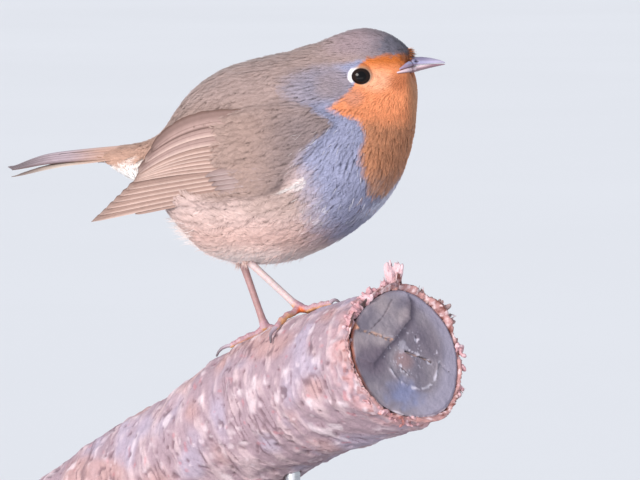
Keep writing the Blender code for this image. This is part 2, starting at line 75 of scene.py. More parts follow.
def to_world(points):
    return (np.asarray(points) @ AXES + ZERO) * MM


def to_bird(points):
    return (np.asarray(points) / MM - ZERO) @ AXES.T


# ---- numbers ------------------------------------------------------------------------
def rgb(red, green, blue):
    """A colour given as it shows on screen, from 0 to 255, as Blender's linear one."""
    shown = np.array((red, green, blue)) / 255
    return np.where(shown <= 0.04045, shown / 12.92, ((shown + 0.055) / 1.055) ** 2.4)


def step(low, high, value):
    """0 below low, 1 above high and smooth between them."""
    share = np.clip((value - low) / (high - low), 0, 1)
    return share * share * (3 - 2 * share)


def mix(one, other, share):
    """Between two colours or rows of them, by a share for each row."""
    share = np.asarray(share)
    if share.ndim:
        share = share[:, None]
    return one + (other - one) * share


def layered(base, *layers):
    """A base colour with others laid over it in turn, each by a share for each row."""
    colours = base
    for colour, share in layers:
        colours = mix(colours, colour, share)
    return colours


def ellipse(places, centre, size):
    """How far places are from a centre, in shares of a size along each axis."""
    return np.linalg.norm((places - np.asarray(centre)) / size, axis=1)


def unit(rows):
    return rows / np.maximum(np.linalg.norm(rows, axis=-1, keepdims=True), 1e-9)


def noise(points, size, seed=0):
    """Smooth noise from -1 to 1, with bumps of a size in mm."""
    place = points / size + seed * 17.31
    cell = np.floor(place).astype(np.int64)
    part = place - cell
    part = part * part * (3 - 2 * part)
    total = np.zeros(len(points))
    for corner in np.ndindex(2, 2, 2):
        at = (cell + corner) * (73856093, 19349663, 83492791)
        mixed = at[:, 0] ^ at[:, 1] ^ at[:, 2]
        mixed = (mixed ^ (mixed >> 13)) * 1274126177
        value = (mixed >> 7 & 0xFFFF) / 32767.5 - 1
        total += value * np.where(corner, part, 1 - part).prod(axis=1)
    return total


def depth_inside(places, outline):
    """How far places of the side view are inside an outline, less than 0 outside it."""
    ends = np.array(outline, float)
    starts = np.roll(ends, 1, axis=0)
    apart = places[:, None, :] - starts
    along = ends - starts
    share = np.clip((apart * along).sum(-1) / (along * along).sum(-1), 0, 1)
    nearest = np.linalg.norm(apart - along * share[..., None], axis=-1).min(axis=1)
    over = (starts[:, 1] > places[:, 1, None]) != (ends[:, 1] > places[:, 1, None])
    slope = np.where(along[:, 1] == 0, 1e-9, along[:, 1])
    left = places[:, 0, None] < starts[:, 0] + along[:, 0] * apart[..., 1] / slope
    inside = (over & left).sum(axis=1) % 2 == 1
    return np.where(inside, nearest, -nearest)


def to_line(places, *corners):
    """How far places are from a broken line."""
    nearest = np.full(len(places), 1e9)
    for one, two in zip(np.array(corners[:-1], float), np.array(corners[1:], float)):
        along = two - one
        share = np.clip(((places - one) @ along) / (along @ along), 0, 1)
        nearest = np.minimum(nearest, np.linalg.norm(places - one - along * share[:, None], axis=1))
    return nearest


# ---- meshes -------------------------------------------------------------------------
def cut_back(bm, x):
    """Keeps what is in front of x, closed."""
    geometry = bm.verts[:] + bm.edges[:] + bm.faces[:]
    cut = bmesh.ops.bisect_plane(bm, geom=geometry, plane_co=(x, 0, 0), plane_no=(-1, 0, 0), clear_outer=True)
    bmesh.ops.holes_fill(bm, edges=[e for e in cut["geom_cut"] if isinstance(e, bmesh.types.BMEdge)])


def node_shape(node, grow=0.0, front_of=None):
    """The points and faces of a CAD node in the bird's frame, a little larger."""
    bm = bmesh.new()
    bm.from_mesh(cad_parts[node].data)
    places = to_bird([v.co for v in bm.verts])
    for vertex, place in zip(bm.verts, places):
        vertex.co = place
    bmesh.ops.remove_doubles(bm, verts=bm.verts, dist=0.002)
    if front_of is not None:
        cut_back(bm, front_of)
    bmesh.ops.recalc_face_normals(bm, faces=bm.faces)
    bm.normal_update()
    points = np.array([v.co + v.normal * grow for v in bm.verts])
    faces = [[v.index for v in face.verts] for face in bm.faces]
    bm.free()
    return points, faces


def joined(shapes):
    """Several shapes as one."""
    points, faces, count = [], [], 0
    for some_points, some_faces in shapes:
        points.append(some_points)
        faces.extend([index + count for index in face] for face in some_faces)
        count += len(some_points)
    return np.concatenate(points), faces


def gathered(parts):
    """As one: parts that each hold points, an array of faces, and arrays with a row for each point."""
    counts = np.cumsum([0, *[len(part[0]) for part in parts]])
    points, faces, *rows = zip(*parts)
    faces = [some + count for some, count in zip(faces, counts)]
    return np.concatenate(points), faces, *[np.concatenate(some) for some in rows]


def rings_of_quads(grid):
    """Four-cornered faces between the rows of a grid of point numbers that closes on itself."""
    around = np.roll(grid, -1, axis=1)
    return np.stack([grid[:-1], around[:-1], around[1:], grid[1:]], axis=-1).reshape(-1, 4)


def ball(centre, radius, around=24, high=16):
    bm = bmesh.new()
    bmesh.ops.create_uvsphere(bm, u_segments=around, v_segments=high, radius=radius)
    shape = np.array([v.co for v in bm.verts]) + centre, [[v.index for v in f.verts] for f in bm.faces]
    bm.free()
    return shape


def lump(centre, way, long, thick):
    """A ball drawn out along a way."""
    points, faces = ball((0, 0, 0), 1.0, 12, 8)
    way = unit(np.asarray(way, float))
    aside = unit(np.cross(way, (0.31, 0.52, 0.79)))
    axes = np.array((aside * thick, np.cross(way, aside) * thick, way * long))
    return points @ axes + centre, faces


def mesh_arrays(mesh):
    """A mesh's points, its faces, all of four corners, and its edges."""
    points = np.empty(len(mesh.vertices) * 3)
    mesh.vertices.foreach_get("co", points)
    edges = np.empty(len(mesh.edges) * 2, int)
    mesh.edges.foreach_get("vertices", edges)
    corners = np.empty(len(mesh.loops), int)
    mesh.loops.foreach_get("vertex_index", corners)
    return points.reshape(-1, 3), corners.reshape(-1, 4), edges.reshape(-1, 2)


def one_surface(shapes, cell, rounds):
    """One closed, even and smooth surface round shapes that may overlap."""
    points, faces = joined(shapes)
    mesh = bpy.data.meshes.new("shapes")
    mesh.from_pydata(points.tolist(), [], faces)
    obj = bpy.data.objects.new("shapes", mesh)
    bpy.context.scene.collection.objects.link(obj)
    remesh = obj.modifiers.new("Remesh", "REMESH")
    remesh.mode = "VOXEL"
    remesh.voxel_size = cell
    evaluated = obj.evaluated_get(bpy.context.evaluated_depsgraph_get())
    points, quads, edges = mesh_arrays(evaluated.to_mesh())
    evaluated.to_mesh_clear()
    bpy.data.objects.remove(obj)
    bpy.data.meshes.remove(mesh)
    return smoothed(points, edges, rounds), quads


SMOOTH_STEPS = (0.55, -0.57)  # inward and back outward, as shares of the way to the neighbours' middle


def smoothed(points, edges, rounds):
    """Evens out a mesh's points without making it thinner, in rounds of in and out."""
    one, two = edges.T
    size = len(points)
    count = np.bincount(edges.ravel(), minlength=size)[:, None]
    for turn in range(2 * rounds):
        columns = [
            np.bincount(one, points[two, axis], size) + np.bincount(two, points[one, axis], size)
            for axis in range(3)
        ]
        points = points + (np.stack(columns, axis=1) / count - points) * SMOOTH_STEPS[turn % 2]
    return points


def point_normals(points, quads):
    """The direction out of the surface at each point."""
    across = np.cross(points[quads[:, 2]] - points[quads[:, 0]], points[quads[:, 3]] - points[quads[:, 1]])
    normals = np.zeros_like(points)
    for corner in range(4):
        for axis in range(3):
            normals[:, axis] += np.bincount(quads[:, corner], across[:, axis], len(points))
    return unit(normals)


def build(
    name, points, faces, look, colours=None, map_places=None, numbers=None, sharp=None, normals=None
):
    """A mesh object from places in the bird's frame, which rides on the one body.

    faces is an array with a row of corners for each face, or a list of such arrays. colours
    and map_places have a row for each point, and numbers holds more values for each point, by
    name. Edges over the sharp angle, in degrees, aren't smooth. normals has a row for each corner.
    """
    groups = faces if isinstance(faces, list) else [faces]
    corners = np.concatenate([group.ravel() for group in groups])
    sizes = np.concatenate([np.full(len(group), group.shape[1]) for group in groups])
    mesh = bpy.data.meshes.new(name)
    mesh.vertices.add(len(points))
    mesh.vertices.foreach_set("co", to_world(points).ravel())
    mesh.loops.add(len(corners))
    mesh.loops.foreach_set("vertex_index", corners)
    mesh.polygons.add(len(sizes))
    mesh.polygons.foreach_set("loop_start", np.concatenate([[0], np.cumsum(sizes)[:-1]]))
    mesh.polygons.foreach_set("loop_total", sizes)
    mesh.update(calc_edges=True)
    mesh.shade_smooth()
    if sharp:
        mesh.set_sharp_from_angle(angle=math.radians(sharp))
    if normals is not None:
        mesh.normals_split_custom_set((normals @ AXES).tolist())
    if colours is not None:
        layer = mesh.color_attributes.new("Markings", "FLOAT_COLOR", "POINT")
        layer.data.foreach_set("color", np.column_stack([colours, np.ones(len(points))]).ravel())
    for title, values in (numbers or {}).items():
        mesh.attributes.new(title, "FLOAT", "POINT").data.foreach_set("value", values)
    if map_places is not None:
        mesh.uv_layers.new(name="OFBake").data.foreach_set("uv", map_places[corners].ravel())
    mesh.materials.append(look)
    obj = bpy.data.objects.new(name, mesh)
    bpy.context.scene.collection.objects.link(obj)
    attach(obj, "root")
    return obj


# ---- materials ----------------------------------------------------------------------
class Look:
    """A material under construction: short words for the nodes that it needs."""

    def __init__(self, name, roughness, **sockets):
        self.material = bpy.data.materials.new(name)
        self.material.use_nodes = True
        self.nodes = self.material.node_tree.nodes
        self.shader = self.nodes["Principled BSDF"]
        for socket, value in {"Roughness": roughness, **sockets}.items():
            self.shader.inputs[socket.replace("_", " ")].default_value = value

    def join(self, value, socket):
        """Plugs in another node's result, or sets a plain value."""
        if isinstance(value, bpy.types.NodeSocket):
            self.material.node_tree.links.new(value, socket)
        else:
            socket.default_value = value

    def node(self, kind, inputs=None, **settings):
        """A new node, with its settings and what goes into its sockets."""
        made = self.nodes.new("ShaderNode" + kind)
        for setting, value in settings.items():
            setattr(made, setting, value)
        for socket, value in (inputs or {}).items():
            self.join(value, made.inputs[socket])
        return made

    def attribute(self, name, output="Color"):
        return self.node("Attribute", attribute_name=name).outputs[output]

    def place(self, stretch=(1, 1, 1), turn=(0, 0, 0)):
        """Places in metres, stretched and turned."""
        where = self.node("TexCoord").outputs["Object"]
        inputs = {"Vector": where, "Scale": stretch, "Rotation": turn}
        return self.node("Mapping", inputs, vector_type="POINT").outputs["Vector"]

    def clouds(self, size, detail=4.0, rough=0.55, stretch=(1, 1, 1), turn=(0, 0, 0)):
        """Noise from 0 to 1 with spots of a size in mm."""
        inputs = {"Vector": self.place(stretch, turn), "Scale": 1 / (size * MM)}
        return self.node("TexNoise", {**inputs, "Detail": detail, "Roughness": rough}).outputs["Fac"]

    def cells(self, size):
        inputs = {"Vector": self.place(), "Scale": 1 / (size * MM)}
        return self.node("TexVoronoi", inputs).outputs["Distance"]

    def maths(self, operation, one, other=0.0):
        return self.node("Math", {0: one, 1: other}, operation=operation).outputs[0]

    def spread(self, value, low, high, new_low=0.0, new_high=1.0):
        """Spreads values between low and high over a new range, and stops at its ends."""
        inputs = enumerate((value, low, high, new_low, new_high))
        return self.node("MapRange", dict(inputs)).outputs["Result"]

    def blend(self, share, one, other, how="MIX"):
        """Two colours mixed, or combined in another way."""
        made = self.node("Mix", {"Factor": share}, data_type="RGBA", blend_type=how)
        for value, socket in zip((one, other), [s for s in made.inputs if s.type == "RGBA"]):
            self.join(value, socket)
        return next(s for s in made.outputs if s.type == "RGBA")

    def shaded(self, colour, value, low, high):
        """A colour made darker or lighter by a value from 0 to 1."""
        number = self.spread(value, 0.0, 1.0, low, high)
        grey = self.node("CombineColor", dict.fromkeys(range(3), number))
        return self.blend(1.0, colour, grey.outputs[0], "MULTIPLY")

    def finish(self, colour, height=None, depth=0.1, rough=None):
        """Connects the colour, and a bump with a depth in mm."""
        self.join(colour, self.shader.inputs["Base Color"])
        if height is not None:
            bump = self.node("Bump", {"Distance": depth * MM, "Height": height})
            self.join(bump.outputs["Normal"], self.shader.inputs["Normal"])
        if rough is not None:
            self.join(rough, self.shader.inputs["Roughness"])
        return self.material


def colour4(values):
    return (*[float(v) for v in values], 1.0)


def marked_look(name, roughness, grain, depth=0.0, shade=None, more=None, rough=None, **sockets):
    """The mesh's own colours, with clouds that raise the surface and darken or lighten it.

    grain is the clouds' size and kind, depth how far they stand out, shade their darkest and
    lightest, and rough the roughness at their ends. more is other clouds with their shades.
    """
    look = Look(name, roughness, **sockets)
    colour = look.attribute("Markings")
    clouds = look.clouds(*grain) if grain else None
    if shade:
        colour = look.shaded(colour, clouds, *shade)
    if more:
        colour = look.shaded(colour, look.clouds(*more[0]), *more[1])
    if rough:
        rough = look.spread(clouds, 0.3, 0.7, *rough)
    return look.finish(colour, clouds, depth, rough)


def plain_look(name, roughness, grain, depth, tones, rough=None, **sockets):
    """Two tones in the pattern of clouds."""
    look = Look(name, roughness, **sockets)
    clouds = look.clouds(*grain)
    colour = look.blend(clouds, *[colour4(rgb(*tone)) for tone in tones])
    return look.finish(colour, clouds, depth, look.spread(clouds, 0.3, 0.7, *rough) if rough else None)


def vane_look():
    """Flight feathers: fine barbs run out from the shaft."""
    look = Look("Flight feathers", 0.62, Sheen_Weight=0.1, Sheen_Roughness=0.4, Specular_IOR_Level=0.35)
    barbs = look.maths("SINE", look.maths("MULTIPLY", look.attribute("Barbs", "Fac"), 2 * math.pi / 0.3))
    barbs = look.spread(barbs, -1.0, 1.0)
    colour = look.shaded(look.attribute("Markings"), barbs, 0.88, 1.06)
    colour = look.shaded(colour, look.clouds(1.6), 0.85, 1.15)
    return look.finish(colour, barbs, 0.05)


def leg_look():
    """Fine scales."""
    look = Look(
        "Skin of the legs", 0.5, Subsurface_Weight=0.15, Subsurface_Scale=0.001, Specular_IOR_Level=0.45
    )
    scales = look.cells(0.35)
    colour = look.shaded(look.attribute("Markings"), look.clouds(0.9), 0.85, 1.12)
    colour = look.shaded(colour, scales, 1.05, 0.86)
    return look.finish(colour, scales, -0.05, look.spread(look.clouds(0.6), 0.3, 0.7, 0.4, 0.6))


def stand_look():
    """Dark stained wood with a satin coat."""
    look = Look("Stand base", 0.42, Coat_Weight=0.25, Coat_Roughness=0.25)
    warp = look.clouds(60.0, 2.0)
    grain = look.clouds(3.0, 6.0, 0.65, (0.08, 1.0, 1.0), (0, 0, 0.3))
    share = look.maths("ADD", look.maths("MULTIPLY", warp, 0.3), look.maths("MULTIPLY", grain, 0.7))
    colour = look.blend(look.spread(share, 0.35, 0.65), colour4(rgb(52, 36, 28)), colour4(rgb(96, 68, 50)))
    return look.finish(colour, grain, 0.05, look.spread(grain, 0.3, 0.7, 0.36, 0.52))


PLUMAGE = marked_look(
    "Small feathers", 0.82, (0.12, 2.0), 0.03, more=((1.1,), (0.93, 1.07)),
    Sheen_Weight=0.12, Sheen_Roughness=0.5, Specular_IOR_Level=0.25,
)
SKIN = marked_look("Skin and down", 0.9, (0.35, 5.0, 0.7), 0.25, (0.7, 1.1), Specular_IOR_Level=0.2)
VANES = vane_look()
HORN = marked_look(
    "Horn of bill and claws", 0.36, (0.35, 4.0, 0.6, (0.35, 1, 1)), 0.04, (0.8, 1.15),
    rough=(0.28, 0.5), Specular_IOR_Level=0.5,
)
EYE = marked_look(
    "Eye", 0.3, None, more=((0.25, 3.0), (0.6, 1.3)),
    Coat_Weight=0.32, Coat_Roughness=0.02, Specular_IOR_Level=0.02,
)
LEG = leg_look()
BARK = marked_look(
    "Bark", 0.8, (1.1, 8.0, 0.7), 0.5, (0.72, 1.22), ((0.3, 3.0, 0.6), (0.82, 1.15)), (0.9, 0.6),
    Specular_IOR_Level=0.35,
)
WOOD = marked_look(
    "Sawn wood", 0.82, (0.45, 6.0, 0.7), 0.22, (0.78, 1.18), ((3.2, 4.0, 0.6), (0.85, 1.12)), (0.92, 0.7),
    Specular_IOR_Level=0.3,
)
# The wood under the bark, which shows only at its ends.
INNER_WOOD = plain_look("Inner wood", 0.85, (2.0, 5.0, 0.6), 0.3, [(120, 96, 92), (176, 150, 146)])
STAND = stand_look()
# Brushed steel, with fine lines round each rod.
STEEL = plain_look(
    "Stand steel", 0.3, (0.25, 3.0, 0.5, (0.06, 0.06, 1.0)), 0.01, [(168, 170, 174), (206, 208, 210)],
    (0.24, 0.4), Metallic=1.0,
)


# ---- the body's surface -------------------------------------------------------------
SWELL = 0.4  # closes the gaps between the nodes, and comes off again
WING_CORE_END = -31.0  # behind this the wings are flight feathers only
TAIL_CORE_END = -66.0
TAIL_TAPER = -49.0  # from here on the core runs out to a point between the tail's feathers
TAIL_SUNK = 1.9  # how far its end lies below the top of the tail
BODY_CELL = 0.8
BODY_ROUNDS = 7
eyes = {name: to_bird(middle("eye_" + name)[:]) for name in SIDES}
EYE_RADIUS = (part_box("eye_right")[1][2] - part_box("eye_right")[0][2]) / 2 / MM
EYE_FORWARD = math.radians(14)  # how far the eyes look ahead of straight out
EYE_FILLING = 0.85  # the flesh under each eye, in its radii


def gaze(side):
    """An eye's own axes: ahead, out and up."""
    ahead = (math.cos(EYE_FORWARD), -side * math.sin(EYE_FORWARD), 0.0)
    outward = (math.sin(EYE_FORWARD), side * math.cos(EYE_FORWARD), 0.0)
    return np.array((ahead, outward, (0.0, 0.0, 1.0)))


def tail_core():
    """The front of the tail's node, run out to a narrow thin end."""
    points, faces = node_shape("tail", SWELL, TAIL_CORE_END)
    slices = np.linspace(TAIL_CORE_END, TAIL_TAPER, 6)
    tops = [points[np.abs(points[:, 0] - x) < 3.0, 2].max() for x in slices]
    top_here = np.interp(points[:, 0], slices, tops)
    share = step(TAIL_TAPER, TAIL_CORE_END, points[:, 0])
    points[:, 2] = top_here - (top_here - points[:, 2]) * (1 - 0.6 * share) - TAIL_SUNK * share
    points[:, 1] *= 1 - 0.5 * share
    return points, faces


openings = {name: eyes[name] + gaze(side)[1] * EYE_RADIUS for name, side in SIDES.items()}

flesh = [node_shape(name, SWELL) for name in ("head", "neck", "trunk", "thigh_left", "thigh_right")]
flesh += [node_shape("wing_" + name, SWELL, WING_CORE_END) for name in SIDES]
flesh.append(tail_core())
flesh += [ball(eyes[name], EYE_RADIUS * EYE_FILLING) for name in SIDES]
body_points, body_quads = one_surface(flesh, BODY_CELL, BODY_ROUNDS)
body_normals = point_normals(body_points, body_quads)
body_points = body_points - body_normals * SWELL


class Field:
    """How far any place is from the body's surface, and which way is out, from a grid."""

    def __init__(self, points, quads, cell=1.2, room=4.0):
        tree = BVHTree.FromPolygons(points.tolist(), quads.tolist())
        self.low, self.cell = points.min(axis=0) - room, cell
        counts = np.ceil((points.max(axis=0) + room - self.low) / cell).astype(int) + 1
        grid = np.stack(np.meshgrid(*[np.arange(n) for n in counts], indexing="ij"), axis=-1)
        places = self.low + grid.reshape(-1, 3) * cell
        found = np.empty(len(places))
        for index, place in enumerate(places.tolist()):
            near, normal, _face, distance = tree.find_nearest(place)
            side = sum((p - q) * n for p, q, n in zip(place, near, normal))
            found[index] = math.copysign(distance, side)
        distance = found.reshape(counts)
        self.values = np.stack([distance, *np.gradient(distance, cell)], axis=-1)

    def look_up(self, points):
        """Distance and direction out, for each place."""
        place = (points - self.low) / self.cell
        most = np.array(self.values.shape[:3]) - 1.001
        place = np.clip(place, 0, most)
        cell = place.astype(int)
        part = place - cell
        total = 0
        for corner in np.ndindex(2, 2, 2):
            share = np.where(corner, part, 1 - part).prod(axis=-1, keepdims=True)
            total = total + share * self.values[tuple((cell + corner).T)]
        return total[:, 0], unit(total[:, 1:])

    def at_height(self, points, heights, rounds=2):
        """Moves places straight in or out to a height over the surface."""
        for _ in range(rounds):
            distance, out = self.look_up(points)
            points = points + out * (heights - distance)[:, None]
        return points


surface = Field(body_points, body_quads)
body_tree = BVHTree.FromPolygons(body_points.tolist(), body_quads.tolist())


# ---- how the feathers lie -----------------------------------------------------------
# Guides in the side view: x, z, the way the feathers point (x, z), their length and the
# depth of the coat, in mm. Between the guides all of these change smoothly.
GUIDES = [
    (40.5, 84.5, -0.90, 0.60, 1.9, 0.5),  # over the bill
    (36.0, 87.0, -1.00, 0.25, 2.6, 0.6),
    (29.0, 91.0, -1.00, 0.00, 3.4, 0.9),  # crown
    (20.0, 90.0, -1.00, -0.22, 4.6, 1.3),
    (9.0, 86.0, -1.00, -0.25, 6.5, 1.6),  # nape
    (36.5, 79.5, -1.00, 0.12, 1.7, 0.4),  # lore
    (31.0, 73.0, -0.90, -0.45, 2.3, 0.5),  # cheek
    (26.0, 83.0, -1.00, 0.05, 2.4, 0.6),  # over the eye
    (21.0, 76.0, -1.00, -0.20, 3.0, 0.8),  # behind the eye
    (18.0, 71.0, -0.90, -0.45, 4.2, 1.0),  # ear
    (41.0, 75.0, -0.35, -1.00, 2.0, 0.5),  # chin
    (41.5, 68.0, -0.10, -1.00, 3.4, 0.9),  # throat
    (33.0, 67.0, -0.45, -0.90, 3.4, 0.9),
    (25.0, 65.0, -0.65, -0.80, 4.2, 1.2),
    (11.0, 73.0, -0.92, -0.45, 6.0, 1.5),  # side of the neck
    (40.0, 54.0, -0.08, -1.00, 6.0, 1.5),  # breast
    (35.0, 42.0, -0.45, -0.95, 7.0, 1.4),
    (25.0, 50.0, -0.45, -0.90, 7.0, 1.6),
    (18.0, 40.0, -0.75, -0.70, 8.0, 1.4),
    (24.0, 30.0, -0.90, -0.45, 8.0, 1.4),
    (-4.0, 82.0, -1.00, -0.25, 8.0, 1.7),  # mantle
    (-18.0, 78.0, -0.95, -0.42, 8.5, 1.7),
    (-30.0, 69.0, -0.85, -0.62, 8.5, 1.7),  # lower back
    (-40.0, 58.0, -0.92, -0.35, 8.0, 1.4),  # rump
    (-50.0, 54.0, -1.00, -0.15, 9.0, 0.9),  # uppertail coverts
    (2.0, 71.0, -0.95, -0.32, 7.0, 1.6),  # shoulder feathers
    (-12.0, 68.0, -0.95, -0.38, 8.5, 1.6),
    (14.0, 62.0, -0.88, -0.48, 5.0, 1.3),  # bend of the wing
    (4.0, 56.0, -0.95, -0.33, 6.0, 1.3),
    (-10.0, 56.0, -0.96, -0.30, 8.0, 1.3),
    (0.0, 45.0, -0.98, -0.20, 6.0, 1.2),
    (2.0, 33.0, -0.97, -0.20, 9.0, 1.1),  # flank
    (-20.0, 32.0, -1.00, 0.05, 10.0, 1.1),
    (6.0, 22.0, -1.00, -0.05, 8.5, 1.1),  # belly
    (-20.0, 20.0, -1.00, 0.20, 9.0, 1.1),
    (-27.0, 35.5, -1.00, -0.10, 7.0, 1.2),  # under the wing's lower edge
    (-37.0, 36.0, -1.00, 0.05, 6.0, 1.2),
    (-35.0, 30.0, -0.80, 0.60, 9.0, 1.6),  # vent
    (-47.0, 45.0, -0.90, 0.42, 11.0, 1.0),  # undertail coverts
    (-9.0, 21.0, -0.60, -0.70, 5.0, 1.2),  # thighs
]
GUIDE_FADE = 3.5  # how fast a guide's say falls off with distance
EYE_CLEAR = 3.1  # feathers part round the eye at this distance from its middle
EYE_PART = 7.0
EYE_PUSH = 1.15  # how strongly they turn away from it

guides = np.array(GUIDES)


def lie(points):
    """For each place: the way its feather points, along the surface, its length and the coat's depth."""
    apart = np.linalg.norm(points[:, None, [0, 2]] - guides[:, :2], axis=-1)
    say = 1 / (apart + 1.0) ** GUIDE_FADE
    say /= say.sum(axis=1, keepdims=True)
    ways = unit(np.column_stack([guides[:, 2], np.zeros(len(guides)), guides[:, 3]]))
    way = say @ ways
    length = say @ guides[:, 4]
    depth = say @ guides[:, 5]
    _distance, out = surface.look_up(points)
    for eye in openings.values():
        away = (points - eye) * (1, 0, 1)
        beside = np.sign(points[:, 1]) == np.sign(eye[1])
        distance = np.linalg.norm(away, axis=1)
        away = unit(away)
        against = np.minimum((way * away).sum(axis=1), 0)
        near = (1 - step(EYE_CLEAR, EYE_PART, distance)) * beside
        way -= away * (against * near * EYE_PUSH)[:, None]
    way = unit(way - out * (way * out).sum(axis=1, keepdims=True))
    return way, out, length, depth


# ---- markings -----------------------------------------------------------------------
BACK = rgb(168, 146, 141)
CROWN = rgb(162, 142, 147)
FORECROWN = rgb(108, 105, 118)
NECK_GREY = rgb(151, 141, 151)
EAR = rgb(160, 144, 148)
WING_FRONT = rgb(137, 121, 121)
WING_MIDDLE = rgb(161, 137, 129)
RUFOUS = rgb(184, 146, 128)
ORANGE = rgb(238, 153, 106)
FOREHEAD = rgb(200, 111, 50)
PALE_ORANGE = rgb(238, 178, 144)
PINK_CHEEK = rgb(216, 148, 120)
THROAT_ORANGE = rgb(188, 112, 74)
# painted shade, with the bib's own browner tone: the lower breast below the head
LOW_BREAST_TONE_AND_SHADE = rgb(196, 138, 104)
CHIN_BROWN = rgb(186, 146, 112)
BLUE_GREY = rgb(145, 154, 188)
FLANK = rgb(200, 175, 170)
FLANK_SHADE = rgb(178, 155, 148)
BELLY = rgb(216, 179, 169)
WHITE = rgb(248, 244, 242)
SPECKS = rgb(112, 112, 132)
BIB_END = rgb(176, 156, 152)
BIB_STAIN = rgb(148, 98, 70)
FAR_BREAST = rgb(214, 216, 236)
# painted shadow under the wing's upper edge
WING_LINE_SHADOW = rgb(104, 82, 76)
BRISTLE_BROWN = rgb(96, 54, 34)
# a painted highlight: the white crescent behind the eye
EYE_CRESCENT_HIGHLIGHT = rgb(250, 246, 248)

# Outlines in the side view, x and z.
BIB = [
    (50.0, 88.0), (43.0, 85.2), (37.5, 84.5), (34.6, 83.7), (31.9, 82.6), (28.0, 82.2),
    (25.8, 79.0), (25.5, 75.5), (24.0, 73.0), (20.5, 69.6), (17.6, 67.0), (20.5, 65.5), (23.7, 64.4),
    (26.9, 63.0), (28.8, 60.1), (29.1, 56.0), (27.5, 51.9), (28.5, 48.2), (29.4, 44.4), (29.4, 40.3),
    (33.2, 37.3), (50.0, 33.0),
]
UPPERPARTS = [
    (50.0, 88.0), (43.0, 85.2), (37.5, 84.5), (31.9, 82.8), (27.0, 82.2), (22.0, 81.0),
    (16.0, 79.0), (9.0, 77.0), (2.5, 73.5), (6.5, 70.0), (13.0, 67.0), (17.5, 64.5), (19.4, 62.3),
    (18.0, 60.0), (12.7, 55.8), (8.3, 52.0), (7.2, 47.6), (3.4, 41.6), (-5.9, 40.2), (-16.0, 38.4),
    (-28.0, 41.0), (-36.0, 46.0), (-42.0, 48.6), (-50.0, 48.4), (-62.0, 46.5), (-62.0, 100.0), (50.0, 100.0),
]

# The painted shadow line where the wing's upper edge comes out from under the back.
WING_LINE = [(-13.0, 66.4), (-19.8, 63.8), (-28.0, 59.5), (-36.2, 52.7), (-39.0, 49.5)]
# The white feathers that show below the front of the wing.
WHITE_TUFT = [(4.8, 41.4), (11.2, 44.4)]
# Across and along the streaks of the lower breast.
STREAK_AXES = unit(np.array(((0.55, 0.0, 0.83), (0.0, 1.0, 0.0), (-0.83, 0.0, 0.55)))).T


